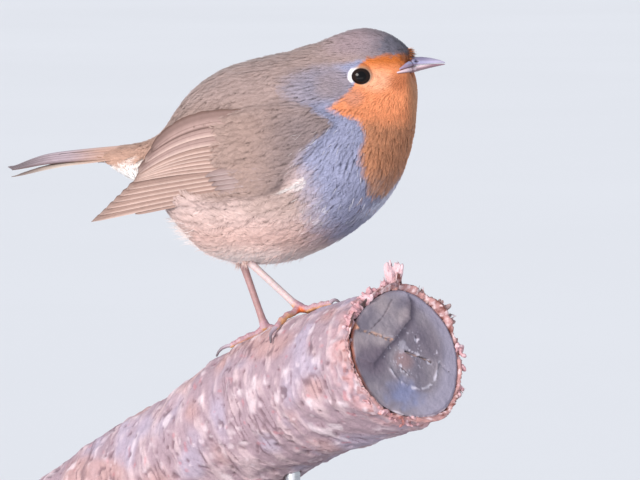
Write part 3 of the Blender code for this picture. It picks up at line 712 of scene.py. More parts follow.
def markings(points):
    """The plumage's colour at each place, with some painted shade and a painted highlight in it."""
    x, y, z = points.T
    side_view = points[:, [0, 2]]
    ragged = 0.55 * noise(points, 1.4, 3) + 0.5 * noise(points, 4.0, 4)
    dots = noise(points, 0.8, 44)
    streaks = noise(points @ STREAK_AXES / (0.55, 0.55, 2.6), 1.0, 41)

    low_breast = ellipse(side_view, (17.0, 30.0), (10.0, 7.0))
    below = layered(
        BELLY,
        (FLANK, step(20, 36, z)),
        (FLANK_SHADE, 0.8 * step(1.2, 0.4, ellipse(side_view, (1.0, 37.5), (13.0, 5.0)) + 0.2 * ragged)),
        (WHITE, step(-33, -41, x) * step(30, 36, z)),
        (WHITE, 0.8 * step(27, 17, z)),
        (BLUE_GREY, 0.85 * (step(3, 18, x + 0.25 * (z - 45) + 3 * ragged) * step(22, 34, z + x * 0.4))),
        (SPECKS, 0.75 * step(0.52, 0.8, streaks) * step(1.1, 0.5, low_breast)),
        (WHITE, 0.7 * step(-0.5, -0.8, streaks) * step(1.6, 0.6, low_breast)),
    )
    above = layered(
        BACK,
        (mix(WING_MIDDLE, WING_FRONT, step(-8, 10, x)), step(72, 62, z)),
        (CROWN, step(8, 22, x) * step(80, 86, z)),
        (FORECROWN, 0.85 * step(21, 37, x + 1.2 * ragged)),
        (RUFOUS, step(-32, -44, x) * 0.85),
    )
    bib = layered(
        ORANGE,
        (FOREHEAD, step(78, 82, z)),
        (PALE_ORANGE, 0.8 * step(1.15, 0.35, ellipse(side_view, (31.6, 75.4), (5.6, 4.2)) + 0.1 * ragged)),
        (PINK_CHEEK, 0.8 * step(1.2, 0.4, ellipse(side_view, (25.0, 70.2), (3.4, 3.2)))),
        (THROAT_ORANGE, 0.8 * step(1.2, 0.4, ellipse(side_view, (38.2, 74.8), (3.8, 3.6)) + 0.15 * ragged)),
        (CHIN_BROWN, 0.65 * step(39.5, 43.0, x) * step(80, 74, z)),
        # painted shade, with the bib's own browner tone, over the lower breast
        (LOW_BREAST_TONE_AND_SHADE, 0.85 * step(64.5, 59.0, z + 1.2 * ragged)),
        (BIB_END, 0.75 * step(50, 40, z + 2 * ragged) * step(-0.6, 0.3, streaks)),
        (BIB_STAIN, 0.6 * step(0.2, 0.6, streaks) * step(66, 54, z)),
    )

    in_upper = depth_inside(side_view, UPPERPARTS) + 0.9 * ragged
    blur = 0.7 + 2.6 * step(24, 14, x) * step(68, 76, z)
    in_bib = depth_inside(side_view, BIB) + 0.75 * ragged
    in_bib += 1.1 * noise(points, 0.9, 45) * step(32, 36, x) * step(79, 81, z)
    far = step(0, 1.4, y - 1.2 * (z - 44) + 0.9 * ragged) * step(54, 48, z)
    far = far * step(30, 35, z) * step(22, 30, x)
    fore = ellipse(side_view, (37.8, 86.0), (6.0, 3.1))
    near_bill = ellipse(side_view, (40.4, 82.2), (2.2, 2.8))
    on_side = step(8, 10, np.abs(y))
    near_eye = np.min([np.linalg.norm(points - eye, axis=1) for eye in openings.values()], axis=0)
    eye_x, _y, eye_z = openings["right"]
    crescent = ellipse(side_view, (eye_x - 2.9, eye_z + 0.3), (1.45, 2.2))
    return layered(
        below,
        (above, step(-blur, blur, in_upper)),
        (NECK_GREY, 0.8 * step(1.25, 0.45, ellipse(side_view, (11.0, 73.5), (10.0, 6.5)) + 0.15 * ragged)),
        (EAR, 0.75 * step(1.2, 0.5, ellipse(side_view, (18.4, 74.4), (6.0, 5.6)) + 0.15 * ragged)),
        (bib, step(-0.6, 0.6, in_bib)),
        (FAR_BREAST, 0.85 * far),
        (FORECROWN, 0.9 * step(1.15, 0.75, fore + 0.5 * ragged + 0.4 * dots)),
        (FORECROWN * 0.45, 0.8 * step(0.2, 0.5, dots) * step(1.25, 0.8, fore)),
        (BRISTLE_BROWN, 0.6 * step(1.1, 0.6, near_bill + 0.7 * dots)),
        # painted shadow along the wing's upper edge, on the sides
        (WING_LINE_SHADOW, 0.75 * step(1.2, 0.4, to_line(side_view, *WING_LINE) + 0.25 * ragged) * on_side),
        (WHITE, 0.8 * step(0.6, 0.2, to_line(side_view, *WHITE_TUFT) + 0.1 * ragged) * on_side),
        # painted highlight: a white crescent behind the eye
        (EYE_CRESCENT_HIGHLIGHT, step(1.15, 0.8, crescent) * step(eye_x - 0.6, eye_x - 2.0, x)),
        (PALE_ORANGE, 0.7 * (step(3.9, 3.3, near_eye) * step(eye_x - 1.5, eye_x + 1.5, x))),
    )


# ---- the skin -----------------------------------------------------------------------
SKIN_SHADE = 0.85  # painted shade: the skin and down under the feathers are made a little darker
SKIN_DEPTH = 0.8  # in depths of the coat
LAST_ROOT = -52.0  # behind this there is only the tail
LAST_LOW_ROOT = -46.0  # the same, on the underside
LAST_TIP = -57.5

coat_depths = lie(body_points)[3]
sunk = coat_depths * SKIN_DEPTH * (1 - 0.8 * step(LAST_ROOT, LAST_ROOT - 8, body_points[:, 0]))
skin_points = body_points - body_normals * sunk[:, None]


# ---- where the small feathers grow --------------------------------------------------
FEATHER_GAP = 0.215  # from one root to the next, in feather lengths
LEAST_GAP = 0.5
ROOT_TRIES = 90000
BILL_CLEAR = 0.6
BILL_FROM = 38.0  # only roots in front of this are near the bill
WING_CLEAR = 2.0
POCKET = 5.0  # nothing grows where the body faces itself this near
EYE_FLAT = 0.88  # the bare opening's height, in its widths
NEIGHBOURS = [(a - 1, b - 1, c - 1) for a, b, c in np.ndindex(3, 3, 3)]

# The soft edges of the mouth in the side view: the corner on the cheek, where they join the
# bill, and how thick they are at each.
GAPE = {"upper": ((38.5, 79.0), (41.8, 80.9), 0.3, 1.15), "lower": ((37.9, 77.9), (41.8, 78.8), 0.34, 0.85)}
GAPE_CLEAR = 0.7

# The side view of the part of the wing that only flight feathers cover.
FLIGHT_ZONE = [
    (-10.0, 67.0), (-12.0, 58.5), (-11.0, 53.5), (-8.0, 50.0), (-4.5, 48.0), (-5.0, 41.2),
    (-12.0, 39.8), (-27.0, 37.0), (-44.0, 33.0), (-62.0, 27.0), (-62.0, 34.0), (-46.0, 44.0),
    (-38.0, 54.5), (-31.0, 60.5), (-24.0, 64.5),
]


def scattered(count):
    """Random places spread evenly over the body's surface."""
    corners = body_points[body_quads]
    across = np.cross(corners[:, 2] - corners[:, 0], corners[:, 3] - corners[:, 1])
    area = np.linalg.norm(across, axis=1)
    quads = rng.choice(len(body_quads), count, p=area / area.sum())
    a, b = rng.random((2, count, 1))
    one, two, three, four = corners[quads].transpose(1, 0, 2)
    return (one * (1 - a) + two * a) * (1 - b) + (four * (1 - a) + three * a) * b


def spaced(points, gaps):
    """Which of the places to keep, so that none is nearer another than its gap."""
    size = gaps.max()
    cells = {}
    kept = []
    for index, (point, gap) in enumerate(zip(points.tolist(), gaps.tolist())):
        x, y, z = (int(value // size) for value in point)
        near = (cells.get((x + a, y + b, z + c), ()) for a, b, c in NEIGHBOURS)
        if not any(math.dist(point, other) < gap for cell in near for other in cell):
            cells.setdefault((x, y, z), []).append(point)
            kept.append(index)
    return np.array(kept)


def tree_of(*nodes):
    """CAD nodes, for rays and for finding what is near."""
    points, faces = joined([node_shape(node) for node in nodes])
    return BVHTree.FromPolygons(points.tolist(), faces)


def feather_roots():
    """Where the body's small feathers grow."""
    points = scattered(ROOT_TRIES)
    _way, out, length, _depth = lie(points)
    side_view = points[:, [0, 2]]
    clear = points[:, 0] > np.where(out[:, 2] < 0.2, LAST_LOW_ROOT, LAST_ROOT)
    for eye in openings.values():
        beside = np.sign(points[:, 1]) == np.sign(eye[1])
        clear &= ~(beside & (ellipse(side_view, eye[[0, 2]], (1.0, EYE_FLAT)) < EYE_CLEAR))
    for corner, front, _thin, _thick in GAPE.values():
        clear &= to_line(side_view, corner, front) > GAPE_CLEAR
    wings = (tree_of("wing_right", "wing_left"), WING_CLEAR, depth_inside(side_view, FLIGHT_ZONE) > 0)
    bill = (tree_of("bill_upper", "bill_lower"), BILL_CLEAR, points[:, 0] > BILL_FROM)
    for tree, room, zone in (wings, bill):
        for index in np.flatnonzero(zone & clear):
            clear[index] = tree.find_nearest(points[index], room)[0] is None
    points, out, length = points[clear], out[clear], length[clear]
    kept = spaced(points, np.maximum(length * FEATHER_GAP, LEAST_GAP))
    points, out = points[kept], out[kept]
    open_air = [body_tree.ray_cast(p + n * 0.6, n, POCKET)[0] is None for p, n in zip(points, out)]
    return points[np.array(open_air)]


# ---- the small feathers -------------------------------------------------------------
# A line through the body, from the forehead to the tail, that the bake's map is rolled round.
SPINE = np.array(
    [(44.0, 80.0), (26.0, 76.0), (10.0, 66.0), (-8.0, 55.0), (-28.0, 48.0), (-45.0, 50.0), (-60.0, 50.0)]
)
PATCH = 0.003  # how wide each feather is on the bake's map


def on_chart(points):
    """Places unrolled from the skin's own shape: round the spine and along it, from 0 to 1."""
    starts, ends = SPINE[:-1], SPINE[1:]
    along = ends - starts
    reach = np.linalg.norm(along, axis=1)
    apart = points[:, None, [0, 2]] - starts
    share = np.clip((apart * along).sum(-1) / reach**2, 0, 1)
    near = np.linalg.norm(apart - along * share[..., None], axis=-1)
    piece = near.argmin(axis=1)
    rows = np.arange(len(points))
    share = share[rows, piece]
    gone = (np.cumsum(reach) - reach)[piece] + share * reach[piece]
    up = np.column_stack([-along[piece, 1], along[piece, 0]]) / reach[piece, None]
    up *= np.sign(up[:, 1:])
    height = (apart[rows, piece] * up).sum(axis=1)
    turn = np.arctan2(points[:, 1], height) / (2 * math.pi) + 0.5
    return np.column_stack([0.01 + 0.98 * turn, 0.01 + 0.98 * gone / reach.sum()])


ROOT_DEPTH = 0.5  # how deep a feather's root lies, in depths of the coat
BARB_POINTS = 5
BARB_FACES = np.array([(0, 4, 1), (0, 2, 4), (4, 3, 1), (4, 2, 3), (0, 1, 2), (1, 3, 2)])
BARB_SIDES = (1, 1, 1, 1, -1, -1)  # which of these faces look out of the coat, and which into it


def barbs(roots, ways, outs, lengths, depths, count, slim, loose, shade):
    """Small feathers, each a fan of count barbs. Gives their points, faces, colours and map places.

    slim is a feather's width and a barb's width as shares of its length. loose is how far barbs
    stray, and shade is the painted shade that darkens a feather's root, down under the others.
    """
    number = len(roots)
    wide, barb_wide = slim
    order = np.arange(count) // 2 / (count // 2 - 1)
    side = np.where(np.arange(count) % 2, 1.0, -1.0)
    size = (number, count)
    start = 0.04 + 0.84 * order + rng.normal(0, 0.015, size)
    end = start + (1 - start) * (0.34 + 0.62 * start) + rng.normal(0, 0.03 * loose, size)
    outline = np.sqrt(np.clip(1 - ((end - 0.52) / 0.52) ** 2, 0.06, 1))
    reach = side * outline * (1 + rng.normal(0, 0.1 * loose, size))
    bend = rng.normal(0, 0.05 * loose, (number, 1))

    long = lengths[:, None]
    width = long * wide
    u = np.stack([start, start + (end - start) * 0.5, end], axis=-1)
    v = np.stack([0 * reach, reach * 0.56, reach], axis=-1) * 0.5 * width[..., None]
    v = v + (bend * long)[..., None] * u**2 + 0.04 * side[:, None] * (1 - u) * width[..., None]
    x = u * long[..., None]
    run = np.stack([x[..., 2] - x[..., 0], v[..., 2] - v[..., 0]], axis=-1)
    run = unit(run)
    half = 0.5 * barb_wide * long * (1 + rng.normal(0, 0.12, size))
    local = np.empty((number, count, BARB_POINTS, 2))
    local[..., 0, :] = np.stack([x[..., 0], v[..., 0]], axis=-1)
    local[..., 3, :] = np.stack([x[..., 2], v[..., 2]], axis=-1)
    centre = np.stack([x[..., 1], v[..., 1]], axis=-1)
    aside = np.stack([-run[..., 1], run[..., 0]], axis=-1) * half[..., None]
    local[..., 1, :] = centre + aside
    local[..., 2, :] = centre - aside
    local[..., 4, :] = centre

    deep = depths[:, None, None]
    share = local[..., 0] / long[..., None]
    edge = np.abs(local[..., 1]) / (0.5 * width[..., None])
    height = deep * (-ROOT_DEPTH + (ROOT_DEPTH + 0.04) * np.clip(share, 0, 1) ** 0.8 - 0.1 * edge**2)
    height += rng.normal(0, 0.035 * loose, size)[..., None] * deep
    height += rng.normal(0, 0.03, (number, 1, 1)) * deep
    height[..., 3] += np.abs(rng.normal(0, 0.05 * loose, size)) * depths[:, None]
    height[..., 4] += 0.25 * half + 0.02

    across = np.cross(outs, ways)
    points = roots[:, None, None] + ways[:, None, None] * local[..., :1]
    points = points + across[:, None, None] * local[..., 1:]
    points = surface.at_height(points.reshape(-1, 3), height.ravel(), 3)

    tips = points.reshape(number, count, BARB_POINTS, 3)[:, :, 3].reshape(-1, 3)
    shown = surface.at_height(roots + ways * lengths[:, None] * 0.8, depths * 0)
    whole = markings(shown)[:, None]
    each = markings(tips).reshape(number, count, 3)
    tint = 0.5 * whole + 0.5 * each
    tint = tint * (1 + rng.normal(0, 0.04, (number, 1, 1))) * (1 + rng.normal(0, 0.06, (*size, 1)))
    # painted shade and light: each barb darker towards the feather's root, under the others, and a little
    # lighter at its tip
    dim = np.array([shade, 0.5 + 0.5 * shade, 0.5 + 0.5 * shade, 1.04, 0.55 + 0.5 * shade])
    colours = (tint[:, :, None] * dim[:, None]).reshape(-1, 3)

    lean = across[:, None] * (0.08 * side[:, None] + rng.normal(0, 0.08, (*size, 1)))
    lean = lean + ways[:, None] * rng.normal(0.04, 0.04, (number, 1, 1))
    facing = surface.look_up(points)[1].reshape(number, count, BARB_POINTS, 3)
    facing = mix(facing, outs[:, None, None], step(-46, -52, roots[:, 0])[:, None, None]) + lean[:, :, None]
    facing = unit(facing).reshape(-1, 3)

    spot = on_chart(roots)[:, None, None]
    patch = np.stack([local[..., 1] / long[..., None], share - 0.5], axis=-1) * PATCH
    first = np.arange(number * count)[:, None, None] * BARB_POINTS
    faces = (first + BARB_FACES).reshape(-1, 3)
    normals = facing[faces] * np.tile(BARB_SIDES, number * count)[:, None, None]
    return points, faces, np.clip(colours, 0, 1), (spot + patch).reshape(-1, 2), normals.reshape(-1, 3)


def coat(name, chosen, count, slim=(0.62, 0.032), loose=1.0, shade=0.6):
    """One piece of the coat, from the roots that were chosen."""
    lengths = root_lengths[chosen] * (1 + rng.normal(0, 0.08, chosen.sum()))
    points, faces, colours, places, normals = barbs(
        roots[chosen], root_ways[chosen], root_outs[chosen], lengths, root_depths[chosen],
        count, slim, loose, shade,
    )
    build(name, points, faces, PLUMAGE, colours, places, normals=normals)


LEAST_LENGTH = 3.0  # of the last feathers before the tail
FACE_LENGTH = 3.3  # the feathers shorter than this are the face's
UPPER_FROM = 50.0  # what is higher is the back, behind the breast

roots = feather_roots()
root_ways, root_outs, root_lengths, root_depths = lie(roots)
root_lengths = np.minimum(root_lengths, np.maximum(roots[:, 0] - LAST_TIP, LEAST_LENGTH))
swing = rng.normal(0, 0.13, len(roots))[:, None]
root_ways = unit(root_ways + np.cross(root_outs, root_ways) * swing)
x, y, z = roots.T
face = root_lengths < FACE_LENGTH
head = (x > 12) & (z > 62) & ~face
front = (x > 8) & ~head & ~face
behind = ~(head | front | face)
high = z > UPPER_FROM
coat("coat_face", face, 16, (0.42, 0.07), 0.8, 0.85)
coat("coat_head", head, 24, (0.5, 0.056), shade=0.8)
for name, side in SIDES.items():
    on_side = (y < 0) == (side < 0)
    coat("coat_breast_" + name, front & on_side, 40, (0.5, 0.034), shade=0.88)
    coat("coat_back_" + name, behind & high & on_side, 40, (0.62, 0.036), shade=0.86)
    coat("coat_belly_" + name, behind & ~high & on_side, 40, (0.6, 0.035), shade=0.92)


# ---- flight feathers ----------------------------------------------------------------
class Sheet:
    """A surface over a flat grid, found by rays and carried on smoothly past its edge."""

    def __init__(self, tree, low, high, origin, ray):
        """origin(a, b) is where a ray starts and ray its way; what is kept is how far it goes."""
        self.low = np.array(low, float)
        counts = (np.array(high) - low).astype(int) + 1
        found = np.full(counts, np.nan)
        for a, b in np.ndindex(*counts):
            hit = tree.ray_cast(Vector(origin(low[0] + a, low[1] + b)), Vector(ray))
            if hit[0] is not None:
                found[a, b] = hit[3]
        known = ~np.isnan(found)
        values = np.where(known, found, found[known].mean())
        for turn in range(300):
            wide = np.pad(values, 1, mode="edge")
            mean = (wide[2:, 1:-1] + wide[:-2, 1:-1] + wide[1:-1, 2:] + wide[1:-1, :-2]) / 4
            values = np.where(known, values if turn < 290 else (values + mean) / 2, mean)
        self.values = values

    def look_up(self, places):
        place = np.clip(places - self.low, 0, np.array(self.values.shape) - 1.001)
        cell = place.astype(int)
        part = place - cell
        total = 0
        for corner in np.ndindex(2, 2):
            share = np.where(corner, part, 1 - part).prod(axis=-1)
            total = total + share * self.values[tuple((cell + corner).T)]
        return total


FAR = 60.0  # where rays start, out from the bird's middle
FAR_ABOVE = 100.0
wing_sheet = Sheet(tree_of("wing_right"), (-64, 24), (24, 72), lambda a, b: (a, -FAR, b), (0, 1, 0))
tail_sheet = Sheet(tree_of("tail"), (-90, -12), (-38, 12), lambda a, b: (a, b, FAR_ABOVE), (0, 0, -1))


def on_wing(side):
    """Puts places of the side view at a depth under the wing's outer face."""
    def put(places, depth):
        y = side * (FAR - wing_sheet.look_up(places) - depth)
        return np.column_stack([places[:, 0], y, places[:, 1]])
    return put


def on_tail(places, depth):
    """Puts places of the tail's plan at a depth under its top."""
    return np.column_stack([places, FAR_ABOVE - tail_sheet.look_up(places) - depth])


VANE_LONG = 26  # steps along a vane
VANE_ACROSS = np.array([0.0, 0.06, 0.16, 0.24, 0.28, 0.32, 0.45, 0.62, 0.8, 0.93, 1.0])
SHAFT = 0.28  # where the shaft runs, from the leading edge
SHAFT_SHARE = 0.5  # how much of the tip's rounding is on the shaft's side
VANE_THICKNESS = 0.22
LEAST_THICKNESS = 0.05
BARB_SLANT = 1.5
ROOT_SUNK = 0.9  # how much deeper a vane's root lies, under the small feathers


def curve(points, shares):
    """A smooth line through three points."""
    one, two, three = np.array(points, float)
    t = shares[:, None]
    return one * (1 - t) * (1 - 2 * t) + two * 4 * t * (1 - t) + three * t * (2 * t - 1)


def vane_colours(u, v, colours, root):
    """A vane's colours at shares along it and across it."""
    fringe, inner, dark = colours
    tint = layered(
        inner,
        # painted shade, with the feathers' own darker middles: the part of each vane under the next one's
        # edge
        (dark, 0.58 * step(0.30, 0.62, v)),
        (fringe, step(0.16, 0.02, v) * 0.9),
        (fringe, 0.6 * step(0.93, 1.0, u)),
        # a painted shadow line along the far edge, under the next feather
        (dark, 0.9 * step(0.86, 0.97, v)),
        (dark, 0.55 * np.exp(-(((v - SHAFT) / 0.03) ** 2))),
    )
    if root is not None:
        tint = layered(tint, (root, 0.9 * step(0.62, 0.3, u)), (dark, 0.75 * step(0.6, 0.95, u)))
    return tint * (1 + 0.05 * rng.normal())


def vane(edge, width, put, depth, tilt, colours, tip=0.16, turn=1, root=None):
    """One flight feather, from the line of its leading edge, with what feathered() needs of it.

    width runs to one side of the edge, put() places it on the wing or tail, depth is how deep
    its root and its tip lie, tilt is how much deeper its far edge lies, and tip is the share of
    its length that the rounded end takes.
    """
    u = np.linspace(0, 1, VANE_LONG) ** 0.85
    line = curve(edge, u)
    run = unit(np.gradient(line, axis=0))
    aside = np.column_stack([run[:, 1], -run[:, 0]]) * turn
    closing = np.clip((1 - u) / tip, 0, 1)
    full = np.sqrt(1 - (1 - closing) ** 2)
    v = VANE_ACROSS
    low_cut = (1 - full) * SHAFT * SHAFT_SHARE
    high_cut = (1 - full) * (1 - SHAFT * SHAFT_SHARE)
    spot = low_cut[:, None] + (1 - high_cut - low_cut)[:, None] * v
    ragged = 1 + 0.02 * rng.normal(size=(VANE_LONG, 1)) * (v == 1)
    flat = (line[:, None] + aside[:, None] * (spot * ragged * width)[..., None]).reshape(-1, 2)
    length = np.linalg.norm(line[-1] - line[0])
    ridge = 0.10 * np.exp(-(((v - SHAFT) / 0.05) ** 2)) * (1 - u[:, None])
    camber = 0.16 * np.sin(math.pi * np.clip(v, 0, 1)) * width / 4
    level = depth[0] + (depth[1] - depth[0]) * u**1.5 + ROOT_SUNK * step(0.2, 0.0, u)
    sunk = level[:, None] + tilt * spot - camber - ridge
    thin = VANE_THICKNESS * (0.25 + 0.75 * np.sin(math.pi * v)) * (0.35 + 0.65 * full[:, None])
    top = put(flat, sunk.ravel())
    under = put(flat, (sunk + np.maximum(thin, LEAST_THICKNESS)).ravel())

    grid = np.arange(len(top)).reshape(VANE_LONG, len(v))
    below = grid + len(top)
    quads = [
        (grid[:-1, :-1], grid[1:, :-1], grid[1:, 1:], grid[:-1, 1:]),
        (below[:-1, :-1], below[:-1, 1:], below[1:, 1:], below[1:, :-1]),
        (grid[:-1, 0], below[:-1, 0], below[1:, 0], grid[1:, 0]),
        (grid[:-1, -1], grid[1:, -1], below[1:, -1], below[:-1, -1]),
        (grid[0, :-1], grid[0, 1:], below[0, 1:], below[0, :-1]),
        (grid[-1, :-1], below[-1, :-1], below[-1, 1:], grid[-1, 1:]),
    ]
    faces = np.concatenate([np.stack(corners, axis=-1).reshape(-1, 4) for corners in quads])
    u_all, v_all = (values.ravel() for values in np.meshgrid(u, v, indexing="ij"))
    tint = vane_colours(u_all, v_all, colours, root)
    phase = u_all * length - np.abs(v_all - SHAFT) * width * BARB_SLANT
    spots = np.column_stack([u_all, v_all])
    rows = [np.concatenate([some, some]) for some in (tint, phase, spots)]
    return np.concatenate([top, under]), faces, *rows


def feathered(name, vanes):
    """One object from many vanes. Each face of each has a cell of its own on the bake's map."""
    points, faces, colours, phases, spots = gathered(vanes)
    cells = 2 * len(vanes)
    across = math.ceil(math.sqrt(cells))
    corner = np.column_stack(np.divmod(np.arange(cells), across))
    spots = (np.repeat(corner, len(points) // cells, axis=0) + 0.06 + 0.88 * spots) / across
    colours = np.clip(colours, 0, 1)
    return build(name, points, faces, VANES, colours, spots, {"Barbs": phases}, 35)


PALE_EDGE = rgb(204, 177, 167)
WING_BROWN = rgb(171, 141, 131)
WING_DARK = rgb(92, 66, 58)
TERTIAL = rgb(175, 146, 140)
COVERT_GREY = rgb(170, 148, 146)
COVERT_EDGE = rgb(182, 160, 156)
COVERT_DARK = rgb(142, 118, 114)
# Each row of feathers: how many, the leading edges of its first and its last one (three
# places each in the side view), width, depth under the wing's face, tilt, tip and colours.
WING_ROWS = {
    "primaries": (
        6, [(-5.0, 48.0), (-26.0, 44.7), (-47.0, 40.6)], [(-4.0, 41.6), (-27.0, 37.6), (-58.1, 30.4)],
        3.3, 0.6, 0.75, 0.2, (PALE_EDGE, WING_BROWN, WING_DARK),
    ),
    "primary_coverts": (
        5, [(2.0, 48.6), (-9.0, 47.4), (-19.5, 45.6)], [(2.0, 42.8), (-7.0, 41.6), (-15.5, 40.2)],
        2.6, 0.12, 0.5, 0.6, (COVERT_EDGE, COVERT_GREY, COVERT_DARK),
    ),
    "secondaries": (
        6, [(-7.0, 54.6), (-26.0, 52.2), (-43.0, 44.8)], [(-3.0, 48.8), (-26.5, 46.6), (-44.6, 43.0)],
        3.2, 0.4, 0.7, 0.3, (PALE_EDGE, WING_BROWN, WING_DARK),
    ),
    "tertials": (
        3, [(-8.0, 61.6), (-24.0, 59.8), (-38.0, 52.2)], [(-6.0, 56.4), (-26.0, 53.8), (-42.6, 45.4)],
        5.2, 0.26, 0.7, 0.6, (PALE_EDGE, TERTIAL, WING_DARK),
    ),
}
DEEPER = 0.03  # each feather of a row lies this much deeper than the one before
HIDDEN_PRIMARY = [(-12.0, 40.3), (-28.0, 36.6), (-43.8, 33.1)]


def wing(name, side):
    """All the vanes of one folded wing, the deepest first."""
    put = on_wing(side)
    vanes = [vane(HIDDEN_PRIMARY, 3.0, put, (1.25, 1.25), 0.3, (WING_BROWN, WING_BROWN, WING_DARK))]
    for title, (count, first, last, width, depth, tilt, tip, colours) in WING_ROWS.items():
        for number in range(count):
            edge = mix(np.array(first), np.array(last), number / (count - 1))
            sunk = depth + DEEPER * number
            # the first tertial's leading edge is painted dark: the shadow where the wing comes out from under
            # the back
            fringe = WING_DARK if (title, number) == ("tertials", 0) else colours[0]
            vanes.append(vane(edge, width, put, (sunk, sunk), tilt, (fringe, *colours[1:]), tip))
    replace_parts(feathered("wing_feathers_" + name, vanes), "wing_" + name)


TAIL_PALE = rgb(196, 176, 182)
TAIL_TOP = rgb(182, 162, 172)
TAIL_BROWN = rgb(94, 80, 84)
TAIL_DARK = rgb(104, 78, 74)
OUTER_TAIL = rgb(226, 206, 192)
TAIL_ROOT = rgb(206, 166, 148)
TAIL_FEATHERS = 6  # on each side


def tail():
    """The tail's twelve feathers: the outer ones lie below, and the outermost hang apart."""
    vanes = []
    for number in reversed(range(TAIL_FEATHERS)):
        share = number / (TAIL_FEATHERS - 1)
        reach, width = 2.4 + 4.4 * share, 5.2
        depth = (0.1 + 0.36 * number, 0.1 + 0.19 * number)
        colours = (TAIL_PALE, TAIL_TOP, TAIL_BROWN)
        if number == TAIL_FEATHERS - 1:
            reach, width, depth = 8.2, 3.4, (1.6, 2.5)
            colours = (OUTER_TAIL, OUTER_TAIL, TAIL_DARK)
        # the feather next to the outermost gets a dark leading edge: painted shade in the gap above the
        # outermost one
        if number == TAIL_FEATHERS - 2:
            colours = (TAIL_DARK, TAIL_TOP, TAIL_DARK)
        edge = np.array(
            [(-42.0, 1.6 + 3.8 * share), (-64.0, 2.4 + 4.6 * share), (-87.3 + 2.6 * share, reach)]
        )
        for side in (-1, 1):
            vanes.append(vane(edge * (1, side), width, on_tail, depth, 0.25, colours, 0.13, -side, TAIL_ROOT))
    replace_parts(feathered("tail_feathers", vanes), "tail")


for name, side in SIDES.items():
    wing(name, side)
tail()


# ---- the eyes and lids --------------------------------------------------------------
PUPIL = 1.5
IRIS = 2.9
CORNEA = 0.12  # how far the clear front bulges
EYE_BLACK = rgb(8, 7, 9)
IRIS_BROWN = rgb(30, 18, 13)


def eyeball(name, side):
    """A glossy ball with a bulging front over a black pupil and a dark brown iris."""
    bm = bmesh.new()
    bmesh.ops.create_icosphere(bm, subdivisions=5, radius=1.0)
    local = np.array([v.co for v in bm.verts])
    faces = np.array([[v.index for v in f.verts] for f in bm.faces])[:, ::-side]
    bm.free()
    off_axis = np.linalg.norm(local[:, [0, 2]], axis=1) + 2 * (local[:, 1] < 0)
    across = off_axis * EYE_RADIUS
    iris = step(PUPIL, PUPIL + 0.2, across)
    colours = layered(EYE_BLACK, (IRIS_BROWN, iris), (EYE_BLACK, step(IRIS - 0.3, IRIS, across)))
    height = EYE_RADIUS + CORNEA * step(0.7, 0.0, off_axis)
    points = eyes[name] + (local @ gaze(side)) * height[:, None]
    obj = build("eyeball_" + name, points, faces, EYE, colours)
    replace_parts(obj, "eye_" + name)


LID_OPEN = (2.76, 2.36)  # half the opening's width and height
LID_POINTS = 96
LID_CLEAR = 0.14  # the least height of the lid over the eyeball
LID_SWELL = 0.3  # how much thicker it is above
BEADS = 19
LID_INNER = rgb(48, 38, 40)
LID_PALE = rgb(230, 190, 160)
# a painted highlight: the white at the lid's rear
LID_HIGHLIGHT = rgb(250, 246, 248)
LID_BROWN = rgb(176, 124, 90)
# The lid's section: how far out from the opening's edge, and height over the eyeball. Its
# skirt is the same, but with heights over the body's surface.
LID_SECTION = [(0.3, -0.6), (-0.06, 0.02), (-0.02, 0.14), (0.08, 0.24), (0.20, 0.25), (0.32, 0.16)]
LID_SKIRT = [(0.6, 0.10), (0.9, 0.0), (1.3, -0.12), (1.7, -0.5)]


def lid(name, side):
    """The rim round an eye, thicker above, with small beads. Gives points, faces and colours."""
    turns = np.linspace(0, 2 * math.pi, LID_POINTS, endpoint=False)
    ahead, up = np.cos(turns), np.sin(turns)
    opening = 1 / np.sqrt((ahead / LID_OPEN[0]) ** 2 + (up / LID_OPEN[1]) ** 2)
    swell = 1 + LID_SWELL * step(-0.2, 0.9, up)
    rear = step(0.1, 0.9, -ahead)
    brown = 0.8 * step(-0.2, 0.9, up) * (1 - rear)
    points, colours = [], []
    for out, height in LID_SECTION + LID_SKIRT:
        radius = opening + out * swell
        if (out, height) in LID_SKIRT:
            flat = np.stack([radius * ahead, np.full(LID_POINTS, 0.6 * EYE_RADIUS), radius * up], axis=1)
            place = surface.at_height(eyes[name] + flat @ gaze(side), np.full(LID_POINTS, height), 4)
            apart = place - eyes[name]
            clear = np.maximum(1, (EYE_RADIUS + LID_CLEAR) / np.linalg.norm(apart, axis=1))
            place = eyes[name] + apart * clear[:, None]
        else:
            rise = EYE_RADIUS + height * swell + 0.035 * np.sin(turns * BEADS) * (height > 0.2)
            slant = np.arcsin(np.minimum(radius / EYE_RADIUS, 0.985))
            local = np.stack([np.sin(slant) * ahead, np.cos(slant), np.sin(slant) * up], axis=1)
            place = eyes[name] + (local @ gaze(side)) * rise[:, None]
        points.append(place)
        # the white at the rear is a painted highlight
        tint = layered(LID_PALE, (LID_BROWN, brown), (LID_HIGHLIGHT, rear))
        tint = mix(tint, markings(place), float(step(0.2, 0.5, out)))
        colours.append(mix(tint, LID_INNER, float(step(0.12, 0.0, out))))
    grid = np.arange(len(points) * LID_POINTS).reshape(-1, LID_POINTS)
    around = np.roll(grid, -1, axis=1)
    faces = np.stack([grid, around, np.roll(around, -1, axis=0), np.roll(grid, -1, axis=0)], axis=-1)
    return np.concatenate(points), faces.reshape(-1, 4)[:, ::-side], np.concatenate(colours)


def skin_piece():
    """The skin of head, neck, trunk and thighs, with the lids on it."""
    lids = [lid(name, side) for name, side in SIDES.items()]
    # the skin carries painted shade, as it lies under the coat
    points, faces, colours = gathered([(skin_points, body_quads, markings(body_points) * SKIN_SHADE), *lids])
    obj = build("skin", points, faces, SKIN, colours)
    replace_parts(obj, "head", "neck", "trunk", "thigh_left", "thigh_right")


